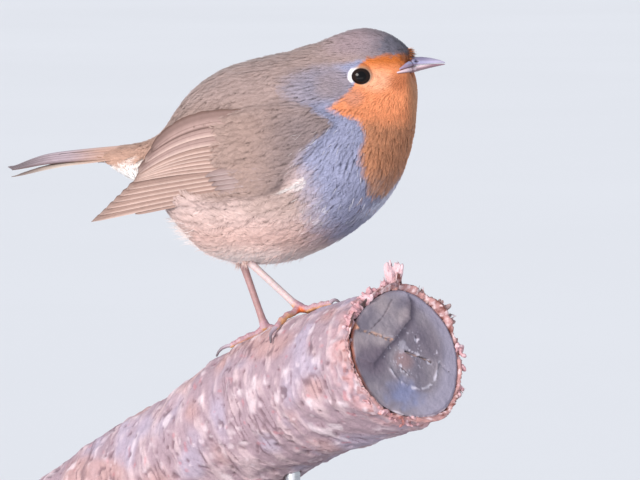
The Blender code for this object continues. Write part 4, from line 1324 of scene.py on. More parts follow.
# ---- the bill -----------------------------------------------------------------------
NOSTRIL = np.array((42.6, 1.75, 81.2))
NOSTRIL_SIZE = (1.0, 1.4, 0.42)
GROOVE_SIZE = (2.6, 2.0, 0.8)
GAPE_STEPS = 12
GAPE_OUT = 1.9  # how far from the middle, where it runs along the bill
BILL_SWELL = 0.06
BILL_CELL = 0.2


def gape(part, side):
    """Balls along a soft edge of the mouth, from its corner to the bill."""
    corner, front, thin, thick = GAPE[part]
    balls = []
    for share in np.linspace(0, 1, GAPE_STEPS):
        x, z = mix(np.array(corner), np.array(front), share)
        hit = body_tree.ray_cast(Vector((x, side * FAR, z)), Vector((0, -side, 0)))[0]
        out = GAPE_OUT if hit is None else max(abs(hit[1]) + 0.05, GAPE_OUT)
        balls.append(ball((x, side * out, z), thin + (thick - thin) * share, 12, 8))
    return balls


def bill_half(part):
    """The upper or lower half, evened out, with its nostrils and the groove round them."""
    shapes = [node_shape("bill_" + part, BILL_SWELL), *gape(part, -1), *gape(part, 1)]
    points, quads = one_surface(shapes, BILL_CELL, 3)
    normals = point_normals(points, quads)
    x = points[:, 0]
    if part == "upper":
        mirrored = np.abs(points)
        near = ellipse(mirrored, NOSTRIL, NOSTRIL_SIZE)
        groove = ellipse(mirrored, NOSTRIL + (0.3, 0, 0), GROOVE_SIZE)
        points = points - normals * (0.42 * step(1.1, 0.4, near) + 0.12 * step(1.1, 0.5, groove))[:, None]
        colours = layered(
            rgb(146, 144, 176),
            (rgb(116, 108, 136), step(80.9, 81.8, points[:, 2])),
            (rgb(190, 182, 202), 0.6 * step(43.0, 51.0, x)),
            (rgb(88, 76, 96), step(1.15, 0.6, near)),
            (rgb(150, 116, 128), 0.6 * step(80.7, 80.2, points[:, 2])),
        )
    else:
        colours = layered(
            rgb(206, 184, 192),
            (rgb(140, 110, 122), step(44.0, 48.0, x)),
            # painted shade: darker where it faces down, on its underside
            (rgb(132, 102, 112), 0.8 * step(-0.1, -0.6, normals[:, 2])),
        )
    colours = colours * (1 + 0.05 * noise(points * (1, 3, 3), 1.2, 9))[:, None]
    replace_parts(build("bill_horn_" + part, points, quads, HORN, colours), "bill_" + part)


# ---- bristles and loose hairs -------------------------------------------------------
HAIR_STEPS = 5
HAIR_SIDES = 4


def hairs(name, starts, ways, lengths, radius, droop, colours, look=None):
    """An object of thin tapered closed hairs that curve towards droop.

    Each has its own small patch on the bake's map, unless a look is given.
    """
    share = np.linspace(0, 1, HAIR_STEPS)
    run = ways[:, None] * share[:, None] + np.asarray(droop)[..., None, :] * share[:, None] ** 2
    line = starts[:, None] + run * lengths[:, None, None]
    aside = unit(np.cross(ways, (0.31, 0.2, 0.93)))
    other = np.cross(ways, aside)
    turns = np.arange(HAIR_SIDES) * 2 * math.pi / HAIR_SIDES
    ring = aside[:, None] * np.cos(turns)[:, None] + other[:, None] * np.sin(turns)[:, None]
    thick = np.asarray(radius).reshape(-1, 1) * (1.02 - share**1.5)
    points = line[:, :, None] + ring[:, None] * thick[..., None, None]
    size = HAIR_STEPS * HAIR_SIDES
    cell = np.arange(size).reshape(HAIR_STEPS, HAIR_SIDES)
    one = np.concatenate([rings_of_quads(cell), [cell[0][::-1], cell[-1]]])
    faces = (np.arange(len(starts))[:, None, None] * size + one).reshape(-1, 4)
    places = None
    if look is None:
        along, turn = np.meshgrid(share - 0.5, np.arange(HAIR_SIDES) / HAIR_SIDES - 0.5, indexing="ij")
        patch = np.column_stack([turn.ravel(), along.ravel()]) * PATCH
        places = (on_chart(starts)[:, None] + patch).reshape(-1, 2)
    tint = np.repeat(colours, size, axis=0)
    build(name, points.reshape(-1, 3), faces, look or PLUMAGE, tint, places)


WISP_TRIES = 9000
WISP_ZONES = [
    # lowest and highest x and z, how many, length, how far they stand out, colour
    (-44.0, -24.0, 15.0, 31.0, 800, 5.2, 0.8, WHITE),
    (-28.0, 8.0, 14.0, 24.0, 420, 3.2, 0.55, BELLY),
    # these wisps over the lower breast take its colour, painted shade included
    (27.0, 34.0, 34.0, 42.0, 60, 2.6, 0.2, LOW_BREAST_TONE_AND_SHADE),
    (8.0, 30.0, 36.0, 62.0, 160, 3.4, 0.22, WHITE),
]


def wisps():
    """Loose ends of down along the belly, and fine pale hairs over the side of the breast."""
    rows = []
    places = scattered(WISP_TRIES)
    x, _y, z = places.T
    for low_x, high_x, low_z, high_z, count, length, stand, tint in WISP_ZONES:
        chosen = places[(x > low_x) & (x < high_x) & (z > low_z) & (z < high_z)][:count]
        way, out, _length, _depth = lie(chosen)
        number = len(chosen)
        way = way + out * stand * rng.uniform(0.3, 1.0, (number, 1)) + rng.normal(0, 0.22, (number, 3))
        sizes = length * rng.uniform(0.5, 1.1, number)
        rows.append((chosen - out * 0.5, unit(way), sizes, mix(markings(chosen), tint, 0.6)))
    starts, ways, sizes, tints = (np.concatenate(some) for some in zip(*rows))
    hairs("wisps", starts, ways, sizes, rng.uniform(0.05, 0.11, len(sizes)), (0, 0, -0.12), tints)


# The white tuft over the flank, in the side view, and how far from its line it spreads.
TUFT = [(12.0, 44.8), (8.2, 43.4), (4.5, 41.8)]
TUFT_SPREAD = 0.5


def flank_tuft():
    """The narrow white tuft that shows before the wing, on the shown side."""
    places = scattered(ROOT_TRIES)
    places = places[(places[:, 1] < 0) & (to_line(places[:, [0, 2]], *TUFT) < TUFT_SPREAD)]
    places = places[rng.random(len(places)) < 0.15 + 0.85 * step(12.5, 8.5, places[:, 0])]
    out = lie(places)[1]
    number = len(places)
    ways = unit(np.array((-0.9, -0.1, -0.42)) + out * 0.06 + rng.normal(0, 0.1, (number, 3)))
    tint = mix(WHITE, markings(places), 0.8 * rng.random(number))
    sizes = rng.uniform(1.4, 4.2, number)
    thick = rng.uniform(0.03, 0.075, number)
    hairs("flank_tuft", places + out * 0.12, ways, sizes, thick, (0, 0, 0), tint)


LEG_DOWN = 320  # hairs round the top of each leg


def leg_down(name):
    """The down that the leg comes out of."""
    shank = node_shape("tarsus_" + name)[0]
    top = shank[shank[:, 2] > shank[:, 2].max() - 1.5].mean(axis=0)
    low = shank[shank[:, 2] < shank[:, 2].min() + 1.5].mean(axis=0)
    way = unit(low - top)
    turns = rng.uniform(0, 2 * math.pi, LEG_DOWN)
    aside = unit(np.cross(way, (1.0, 0, 0)))
    out = aside * np.cos(turns)[:, None] + np.cross(way, aside) * np.sin(turns)[:, None]
    share = rng.random((LEG_DOWN, 1))
    starts = top + out * rng.uniform(0.5, 1.8, (LEG_DOWN, 1)) - way * (3.2 - 2.0 * share)
    ways = unit(way + out * 0.35 + rng.normal(0, 0.2, (LEG_DOWN, 3)))
    tint = mix(BELLY, WHITE, 0.5 * rng.random(LEG_DOWN))
    sizes = rng.uniform(1.8, 3.4, LEG_DOWN)
    hairs("leg_down_" + name, starts, ways, sizes, rng.uniform(0.05, 0.1, LEG_DOWN), (-0.1, 0, 0), tint)


BILL_TUFTS = 300
BILL_TUFT = rgb(226, 150, 104)


def bill_tufts():
    """Small orange feathers that run forward over the base of the bill."""
    share = rng.random(BILL_TUFTS) ** 0.6
    side = np.where(np.arange(BILL_TUFTS) % 2, 1.0, -1.0)
    starts = np.column_stack([39.2 - 0.4 * share, side * (3.1 - 2.9 * share**1.4), 80.6 + 3.7 * share])
    starts += rng.normal(0, 0.35, starts.shape)
    ways = np.column_stack([np.ones(BILL_TUFTS), side * (0.35 - 0.3 * share), -0.4 + 0.55 * share])
    ways = unit(ways + rng.normal(0, 0.16, ways.shape))
    tint = mix(BILL_TUFT, FOREHEAD, rng.random(BILL_TUFTS))
    tint = mix(tint, BRISTLE_BROWN, 0.85 * (rng.random(BILL_TUFTS) < 0.6))
    sizes = rng.uniform(1.2, 2.9, BILL_TUFTS) * (0.75 + 0.5 * share)
    thick = rng.uniform(0.07, 0.14, BILL_TUFTS)
    hairs("bill_tufts", starts, ways, sizes, thick, (0, 0, -0.1), tint)


BRISTLES = 7  # on each side
BRISTLE_THICK = 0.055


def bristles():
    """Dark stiff hairs at the corners of the mouth and over the nostrils."""
    share = np.tile(np.linspace(0, 1, BRISTLES), 2)
    side = np.repeat((-1, 1), BRISTLES)
    starts = np.column_stack([39.9 + 0.5 * share, side * (2.9 - 0.5 * share), 78.4 + 4.8 * share])
    ways = np.column_stack([0.9 + 0 * share, side * (0.85 - 0.5 * share), -0.35 + 1.1 * share])
    ways = unit(ways + rng.normal(0, 0.12, ways.shape))
    lengths = rng.uniform(1.6, 3.2, len(share))
    thick = np.full(len(share), BRISTLE_THICK)
    tint = np.tile(BRISTLE_BROWN, (len(share), 1))
    hairs("bristles", starts, ways, lengths, thick, (0.1, 0, -0.16), tint, HORN)


# ---- legs and feet ------------------------------------------------------------------
TOE_NAMES = ("hallux", "inner", "middle", "outer")
SOLE = rgb(222, 166, 100)
# painted light and shade: the near (right) leg is coloured as lit, the far (left) one as in shade
SHANK_LIT_AND_SHADED = {"right": rgb(200, 182, 182), "left": rgb(166, 130, 130)}
BRIDGE_STEP = 0.5  # between the balls that fill a gap


def end_of(points, place, far=False):
    """The middle of a shape's end that is nearest a place, or farthest from it."""
    distance = np.linalg.norm(points - place, axis=1) * (-1 if far else 1)
    return points[distance < distance.min() + 0.9].mean(axis=0)


def bridge(start, end, first, last):
    """Balls that fill the way between two places, from one radius to another."""
    count = max(3, round(np.linalg.norm(end - start) / BRIDGE_STEP))
    shares = np.linspace(0, 1, count)
    return [ball(start + (end - start) * share, first + (last - first) * share, 12, 8) for share in shares]


def foot(name):
    """The skin of one leg and its toes, with its scutes and pads, and its four claws."""
    toes = [f"toe_{toe}_{name}" for toe in TOE_NAMES]
    claws = [f"claw_{toe}_{name}" for toe in TOE_NAMES]
    leg = "tarsus_" + name
    shapes = [node_shape(part, 0.16) for part in [leg, *toes]]
    shank = shapes[0][0]
    top, low = shank[shank[:, 2].argmax()], shank[shank[:, 2].argmin()]
    way = unit(top - low)
    ankle = shank[(shank - low) @ way < 2.5].mean(axis=0)
    for toe, claw in zip(shapes[1:], claws):
        shapes += bridge(ankle, end_of(toe[0], ankle), 1.35, 1.1)
        shapes += bridge(end_of(toe[0], ankle, far=True), end_of(node_shape(claw)[0], ankle), 0.8, 0.72)
    points, quads = one_surface(shapes, 0.24, 3)
    normals = point_normals(points, quads)
    upward = normals[:, 2]
    up = (points - ankle) @ way
    on_leg = step(1.2, 2.6, up)
    on_toes = 1 - on_leg
    beyond = np.linalg.norm(points - ankle, axis=1)
    forward = normals @ unit(np.cross(way, (0, 1.0, 0)))
    top_side = step(0.1, 0.6, upward)
    scutes = np.abs(np.sin(beyond * math.pi / 0.95)) ** 0.4
    plates = np.abs(np.sin(up * math.pi / 2.3)) ** 0.15
    pads = np.sin(beyond * math.pi / 1.9) * step(-0.1, -0.6, upward)
    rise = on_toes * (0.07 * scutes * top_side + 0.14 * pads)
    rise = rise + on_leg * 0.05 * plates * step(0.0, 0.5, forward)
    points = points + normals * rise[:, None]
    colours = layered(
        # lit or shaded by the side, painted
        SHANK_LIT_AND_SHADED[name],
        (rgb(186, 150, 158), on_toes),
        (rgb(150, 112, 118), (1 - scutes) * top_side * on_toes),
        (rgb(186, 140, 140), 0.7 * (1 - plates) * on_leg),
        (SOLE, 0.8 * step(-0.05, -0.6, upward) * on_toes),
    )
    if name == "right":
        back = step(0.0, -3.0, points[:, 0] - ankle[0]) * step(1.0, 0.5, upward) * step(12.0, 9.5, beyond)
        spot = ellipse(points, ankle + (0.6, -1.2, -1.4), 1.0)
        colours = layered(
            colours, (SOLE, 0.85 * back * on_toes), (rgb(230, 116, 62), 0.9 * step(2.6, 1.3, spot))
        )
    colours = mix(colours, rgb(166, 126, 140), 0.5 * step(3.2, 1.5, np.abs(up - 0.8)) * top_side)
    colours = colours * (1 + 0.07 * noise(points, 0.7, 5))[:, None]
    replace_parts(build("foot_skin_" + name, points, quads, LEG, colours), leg, *toes)

    parts = []
    for claw in claws:
        points, quads = one_surface([node_shape(claw, 0.1)], 0.13, 2)
        away = np.linalg.norm(points - ankle, axis=1)
        share = (away - away.min()) / np.ptp(away)
        parts.append((points, quads, mix(rgb(176, 160, 172), rgb(84, 70, 78), step(0.1, 1.0, share))))
    points, quads, colours = gathered(parts)
    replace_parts(build("claws_" + name, points, quads, HORN, colours), *claws)


# ---- the branch ---------------------------------------------------------------------
BARK_CELL = 0.6
BARK_BROWN = rgb(166, 142, 152)
BARK_PALE = rgb(198, 174, 180)
FACE_RINGS = 84
FACE_TURNS = 256
WOOD_GREY = rgb(140, 131, 140)
WOOD_DARK = rgb(120, 112, 124)
WOOD_PALE = rgb(166, 152, 156)
WOOD_WHITE = rgb(206, 200, 214)


def cut_face():
    """The plane of the sawn wood: its middle, the way it faces, and its outline's points."""
    points, faces = node_shape("perch_wood")
    corners = [points[face] for face in faces]
    normals = np.array([np.cross(c[1] - c[0], c[2] - c[0]) for c in corners])
    area = np.linalg.norm(normals, axis=1)
    ways = unit(normals)
    towards = ways @ (to_bird(np.array([[0.0, -1.0, 0.0]])) - to_bird(np.zeros((1, 3))))[0]
    best = max(np.flatnonzero(towards > 0), key=lambda k: area[ways @ ways[k] > 0.999].sum())
    flat = np.flatnonzero(ways @ ways[best] > 0.999)
    rim = np.unique(np.concatenate([corners[k] for k in flat]).round(3), axis=0)
    centre = (rim.max(axis=0) + rim.min(axis=0)) / 2
    return centre, ways[best], rim


FACE_CENTRE, FACE_WAY, FACE_RIM = cut_face()
FACE_RIGHT = unit(np.cross((0, 0, 1.0), FACE_WAY))
FACE_UP = np.cross(FACE_WAY, FACE_RIGHT)


def face_radius(turns):
    """The sawn face's radius at angles round it, from its right anticlockwise."""
    apart = FACE_RIM - FACE_CENTRE
    angles = np.arctan2(apart @ FACE_UP, apart @ FACE_RIGHT)
    order = angles.argsort()
    return np.interp(turns, angles[order], np.linalg.norm(apart, axis=1)[order], period=2 * math.pi)


FACE_THICK = 0.8
RIM_OVERLAP = 0.45  # how far the wood runs under the torn edge of the bark
# On the sawn face, in shares of its radius, right and up.
PITH = (0.03, 0.02)
SAW_STEP = [(0.30, 0.78), (0.22, 0.52), (-0.22, 0.20), (-0.68, -0.14)]
ABOVE_SAW = [*SAW_STEP, (-1.4, 0.2), (-0.8, 1.3), (0.2, 1.4)]
SAW_LINE = [(-0.57, 0.43), (-0.23, 0.69), (-0.05, 0.86)]
LEFT_CRACK = [(-0.82, 0.42), (-0.60, 0.36), (-0.42, 0.30), (-0.24, 0.22)]
HEART_CRACK = [(0.00, 0.03), (0.08, 0.01), (0.19, -0.03), (0.38, -0.12), (0.46, -0.15)]
SHORT_CRACKS = [
    [(0.62, -0.20), (0.78, -0.36)],
    [(-0.16, -0.20), (-0.02, -0.34)],
    [(0.28, 0.26), (0.26, 0.15)],
]
SLIVER = [(-1.2, 0.40), (-1.2, 0.74), (-0.88, 0.68), (-0.82, 0.44)]
HEART = (-0.07, -0.10)
ARC_CENTRE, ARC_RADIUS = (0.10, -0.06), 0.49


def wood_face():
    """The sawn end: faint rings, a step left by the saw, cracks and a torn sliver."""
    share = (np.arange(FACE_RINGS) + 1) / FACE_RINGS
    turns = np.arange(FACE_TURNS) * 2 * math.pi / FACE_TURNS
    turns = (turns + math.pi) % (2 * math.pi) - math.pi
    share, turn = [np.append(grid.ravel(), 0.0) for grid in np.meshgrid(share, turns, indexing="ij")]
    places = np.column_stack([np.cos(turn), np.sin(turn)]) * share[:, None]
    right, up = places.T
    reach = face_radius(turn) + RIM_OVERLAP
    flat = FACE_CENTRE + (FACE_RIGHT * places[:, :1] + FACE_UP * places[:, 1:]) * reach[:, None]

    spots = noise(flat, 5.0, 11)
    fine = noise(flat, 0.9, 12)
    grain = noise(flat, 2.0, 17)
    from_pith = np.linalg.norm(places - PITH, axis=1)
    rings = np.sin((from_pith * 20 + 0.9 * spots + 0.3 * grain) * 2 * math.pi / 1.4)
    ring_show = step(-0.2, 0.7, noise(flat, 6.0, 13))
    saw = to_line(places, *SAW_STEP)
    above = depth_inside(places, ABOVE_SAW) > 0
    line = to_line(places, *SAW_LINE) + 0.008 * fine
    left = to_line(places, *LEFT_CRACK) + 0.012 * fine
    heart = to_line(places, *HEART_CRACK) + 0.014 * fine
    short = np.min([to_line(places, *crack) for crack in SHORT_CRACKS], axis=0) + 0.01 * fine
    arc = np.abs(np.linalg.norm(places - ARC_CENTRE, axis=1) - ARC_RADIUS) + 0.02 * grain
    arc = np.where(up < 0.05 + 0.1 * grain, arc, 1.0)
    sliver = depth_inside(places, SLIVER) + 0.02 * fine

    height = FACE_THICK + 0.012 * rings * ring_show + 0.09 * fine + 0.12 * grain + 0.18 * spots
    height += 0.5 * step(-0.08, 0.05, np.where(above, saw, -saw)) + 0.2 * step(0.12, 0.02, saw) * above
    height -= 0.8 * step(0.035, 0.0, heart) + 0.5 * step(0.025, 0.0, left) + 0.3 * step(0.02, 0.0, short)
    height -= 0.2 * step(0.02, 0.0, line)
    height += 0.3 * step(0.05, 0.0, arc) * step(-0.2, 0.3, grain) + 0.5 * step(-0.02, 0.03, sliver)
    height = np.maximum(height - 0.6 * step(0.95, 1.0, share), 0.06)

    outer = step(0.72, 0.95, ellipse(places, (-0.1, 0.1), 1.0)) * step(-0.3, 0.2, right)
    dim = ellipse(places, (0.36, 0.14), 0.42) + 0.2 * grain
    blue = ellipse(places, (-0.22, -0.62), (0.34, 0.24)) + 0.35 * grain + 0.2 * spots
    # painted shadow to the left, beside the saw step's
    left_shadow = ellipse(places, (-0.68, -0.06), (0.34, 0.3)) + 0.2 * grain
    # painted shadow along the saw step
    saw_shadow = step(0.13, 0.03, saw + 0.02 * fine + 0.02 * grain) * (0.75 + 0.25 * ~above)
    patch = ellipse(places, (-0.03, 0.1), (0.09, 0.12)) + 0.35 * noise(flat, 0.8, 15)
    rim = step(0.965, 0.99, share)
    colours = layered(
        WOOD_GREY,
        (WOOD_DARK, step(-0.4, 0.7, spots + 0.5 * grain)),
        (WOOD_PALE, 0.75 * above * step(-0.5, 0.5, noise(flat, 6.0, 14))),
        (rgb(162, 156, 176), 0.7 * outer),
        (rgb(104, 94, 108), 0.6 * step(1.2, 0.3, dim)),
        (rgb(126, 136, 178), 0.6 * step(1.4, 0.3, blue)),
        (WOOD_DARK * 0.8, 0.1 * step(0.2, 1.0, rings) * ring_show),
        # painted shadows: to the lower left, and along the saw step
        (rgb(104, 92, 106), 0.8 * step(1.3, 0.5, left_shadow)),
        (rgb(92, 82, 96), 0.8 * saw_shadow),
        (rgb(150, 122, 124), 0.75 * step(1.2, 0.4, ellipse(places, HEART, (0.2, 0.17)))),
        (WOOD_WHITE, 0.3 * step(1.1, 0.6, patch)),
        (WOOD_WHITE, 0.5 * (step(0.5, 0.2, from_pith) * step(0.5, 0.75, noise(flat, 0.7, 20)))),
        (WOOD_WHITE, 0.7 * step(0.07, 0.03, np.minimum(heart, short)) * step(0.1, 0.5, noise(flat, 0.9, 18))),
        (WOOD_WHITE, 0.7 * step(0.04, 0.0, arc) * step(-0.2, 0.3, noise(flat, 1.1, 16))),
        (rgb(200, 158, 136), 0.7 * step(0.05, 0.02, left) * step(-0.1, 0.4, noise(flat, 0.9, 19))),
        (rgb(92, 80, 88), 0.6 * step(0.016, 0.004, line)),
        (rgb(34, 28, 34), 0.95 * step(0.026, 0.008, heart) * step(-0.4, 0.0, grain)),
        (rgb(60, 50, 58), 0.8 * step(0.016, 0.004, np.minimum(left, short)) * step(-0.2, 0.2, fine)),
        (rgb(228, 166, 140), step(-0.02, 0.02, sliver)),
        (rgb(170, 106, 88), rim * step(-0.3, -0.6, right) * step(0.7, 0.3, np.abs(up))),
        (rgb(206, 196, 206), rim * step(-0.75, -0.9, up) * step(-0.2, 0.3, fine)),
    )

    points = np.concatenate([flat + FACE_WAY * height[:, None], flat - FACE_WAY * 0.05])
    hub = FACE_RINGS * FACE_TURNS
    lower = len(flat)
    grid = np.arange(hub).reshape(FACE_RINGS, FACE_TURNS)
    around = np.roll(grid, -1, axis=1)
    quads = np.stack([grid[:-1], grid[1:], around[1:], around[:-1]], axis=-1).reshape(-1, 4)
    fan = np.column_stack([np.full(FACE_TURNS, hub), grid[0], around[0]])
    wall = np.column_stack([grid[-1], grid[-1] + lower, around[-1] + lower, around[-1]])
    quads = np.concatenate([quads, quads[:, ::-1] + lower, wall])
    faces = [quads, np.concatenate([fan, fan[:, ::-1] + lower])]
    build("wood_cut_face", points, faces, WOOD, np.tile(colours, (2, 1)))


def on_face(points):
    """Places from the face's middle: right, up and ahead of it, and the angle from its right."""
    apart = points - FACE_CENTRE
    right, up = apart @ FACE_RIGHT, apart @ FACE_UP
    return right, up, apart @ FACE_WAY, np.degrees(np.arctan2(up, right))


def branch_axis(points):
    """The branch's middle line through its points: places along it, and where each point is."""
    mean = points.mean(axis=0)
    way = np.linalg.svd(points - mean, full_matrices=False)[2][0]
    way *= -np.sign(way @ FACE_WAY)
    along = (points - mean) @ way
    fits = [np.polyfit(along, points[:, axis], 3) for axis in range(3)]
    return mean, way, fits


POST_ANGLE = 84.5  # where the tallest torn piece stands
POST_ANGLE = 84.5  # where the tallest torn piece stands
RIM_STAND = 2.4  # how far the bark's edge stands out past the wood elsewhere
# How much torn bark stands round the cut, from 0 to 1, by the angle from its right side.
RIM_PROFILE = [
    (-180, 0.3), (-150, 0.2), (-128, 0.8), (-105, 0.7), (-85, 0.0), (-48, 0.0), (-38, 0.6), (-30, 0.6),
    (-24, 0.1), (-16, 0.5), (6, 0.5), (12, 0.0), (22, 0.0), (30, 1.0), (50, 0.8), (56, 0.1), (66, 0.0),
    (72, 0.4), (78, 0.1), (84, 0.8), (120, 0.9), (148, 0.8), (165, 0.3), (180, 0.3),
]


def bark():
    """The bark, with low rings of scars round it, pits and flakes."""
    points, quads = one_surface([node_shape("perch_bark")], BARK_CELL, 3)
    normals = point_normals(points, quads)
    mean, way, fits = branch_axis(node_shape("perch_bark")[0])
    along = (points - mean) @ way
    out = points - np.column_stack([np.polyval(fit, along) for fit in fits])
    side = unit(np.cross(way, (0, 0, 1.0)))
    turn = np.arctan2(out @ side, out @ np.cross(side, way))
    shown = step(0.0, 0.5, (normals * unit(out)).sum(axis=1))
    _right, _up, ahead, angle = on_face(points)
    behind = -ahead
    near_cut = step(12, 2, behind)

    wrapped = np.column_stack([along * 1.3, 9 * np.cos(turn), 9 * np.sin(turn)])
    ridged = np.column_stack([along * 0.45, 20 * np.cos(turn), 20 * np.sin(turn)])
    scars = noise(wrapped, 3.0, 21)
    fine_scars = noise(wrapped * (1.6, 1.4, 1.4), 1.6, 22)
    lumps = noise(points, 7.0, 23)
    pits = step(0.45, 0.8, noise(points, 1.9, 24))
    knobs = noise(points, 3.6, 38)
    torn = near_cut * noise(ridged, 1.6, 25) + 0.8 * near_cut * noise(ridged, 3.4, 33)
    rise = 0.26 * scars + 0.22 * fine_scars + 0.5 * lumps + 0.45 * knobs - 0.55 * pits + 0.6 * torn
    in_plane = points - FACE_CENTRE + FACE_WAY * behind[:, None]
    over = np.linalg.norm(in_plane, axis=1) - face_radius(np.radians(angle))
    off_post = step(2.5, 5.0, np.abs(angle - POST_ANGLE))
    too_high = np.maximum(over - RIM_STAND, 0) * off_post * step(9, 5, behind)
    points = points - unit(in_plane) * too_high[:, None]
    low_rim = (1 - np.interp(angle, *np.array(RIM_PROFILE).T)) * step(6.0, 0.5, behind) * shown
    frayed = step(3.0, 0.0, behind) * (0.6 * noise(points, 1.5, 39) + 0.8 * noise(points, 4.2, 40))
    points = points + normals * (rise * (0.35 + 0.65 * shown) * 0.9 - 1.5 * low_rim)[:, None]
    points = points + FACE_WAY * (1.1 * frayed - 1.2 * low_rim)[:, None]

    cracks = np.abs(noise(wrapped * (1, 0.6, 0.6), 2.4, 34))
    cracks = step(0.16, 0.04, cracks) * step(-0.1, 0.5, noise(points, 5.0, 35))
    inner = layered(
        rgb(186, 140, 138),
        (rgb(124, 74, 66), step(0.1, 0.5, noise(points, 1.2, 36))),
        (rgb(228, 200, 202), step(0.2, 0.5, noise(points, 1.0, 37))),
        # painted shade: a dark gap between bark and wood at the upper left
        (rgb(48, 32, 30), 0.85 * step(112, 120, angle) * step(156, 150, angle)),
    )
    colours = layered(
        BARK_BROWN,
        (BARK_PALE, step(-0.1, 0.7, scars + 0.4 * fine_scars)),
        (rgb(176, 164, 184), 0.7 * step(0.1, 0.6, noise(points, 9.0, 26))),
        (rgb(192, 150, 144), 0.6 * step(0.1, 0.7, noise(points, 12.0, 27))),
        (rgb(192, 112, 120), 0.4 * step(0.62, 0.85, noise(points, 2.2, 28))),
        # darker in the sunken pits, painted shade, and along thin cracks
        (rgb(104, 78, 88), 0.65 * np.maximum(pits, cracks)),
        # painted highlights: pale spots on the raised knobs, in two sizes
        (rgb(232, 214, 222), 0.4 * step(0.35, 0.65, noise(points, 1.7, 29)) * step(-0.2, 0.4, knobs)),
        (rgb(236, 220, 226), 0.55 * step(0.3, 0.6, noise(points, 4.2, 42)) * step(-0.3, 0.3, knobs)),
        (rgb(208, 158, 158), 0.6 * near_cut * step(-0.4, 0.3, noise(points, 2.0, 30))),
        (rgb(142, 88, 84), 0.6 * near_cut * step(0.35, 0.65, noise(points, 1.4, 32))),
        (inner, 1 - shown),
    )
    colours = colours * (1 + 0.08 * noise(points, 1.0, 31))[:, None]
    obj = build("bark_surface", points, quads, BARK, np.clip(colours, 0, 1))
    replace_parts(obj, "perch_bark")


# Clumps of torn bark round the cut: the angle from its right side and how wide they spread
# there, in degrees, how many shreds, how long they are, how far they lean outward and how
# thick they are.
TORN = [
    (84.5, 1.5, 50, 7.8, 1.0, 0.95), (93.5, 1.8, 12, 3.8, 0.9, 0.8), (102.0, 3.0, 12, 3.6, 0.5, 0.8),
    (111.0, 3.6, 16, 4.6, 0.5, 0.9), (121.0, 3.6, 16, 4.6, 0.5, 1.0), (131.0, 3.6, 16, 4.6, 0.5, 0.9),
    (142.0, 4.0, 16, 4.0, 0.5, 0.9), (152.0, 2.0, 6, 2.2, 0.5, 0.7), (72.0, 1.4, 9, 2.2, 0.8, 0.8),
    (57.0, 1.4, 12, 3.4, 1.1, 0.35), (47.0, 1.8, 14, 2.6, 1.0, 0.9), (36.0, 2.8, 38, 3.8, 1.1, 1.1),
    (28.0, 1.0, 8, 5.4, 1.3, 0.5), (2.0, 4.0, 14, 3.4, 0.5, 0.8), (-10.0, 3.4, 12, 3.2, 0.5, 0.8),
    (-34.0, 2.2, 14, 2.8, 0.9, 1.0), (-93.0, 3.0, 6, 1.7, 0.3, 0.7), (-107.0, 4.5, 14, 3.6, 0.5, 0.7),
    (-122.0, 4.5, 14, 3.6, 0.5, 0.7), (-138.0, 3.0, 6, 2.4, 0.4, 0.6), (165.0, 6.0, 5, 1.6, 0.2, 0.4),
]
TALL = 6.0  # the shreds of a clump longer than this stand close together, like a post
FRAYED = 2.7  # only clumps longer than this have loose fibres
LAID = 0.5  # clumps that lean no more than this lie along the rim
FIBRES_PER_SHRED = 3
TORN_PINK = rgb(200, 154, 160)
TORN_BROWN = rgb(150, 124, 112)
TORN_PALE = rgb(234, 206, 212)
TORN_RED = rgb(168, 98, 92)
TORN_DARK = rgb(104, 70, 66)


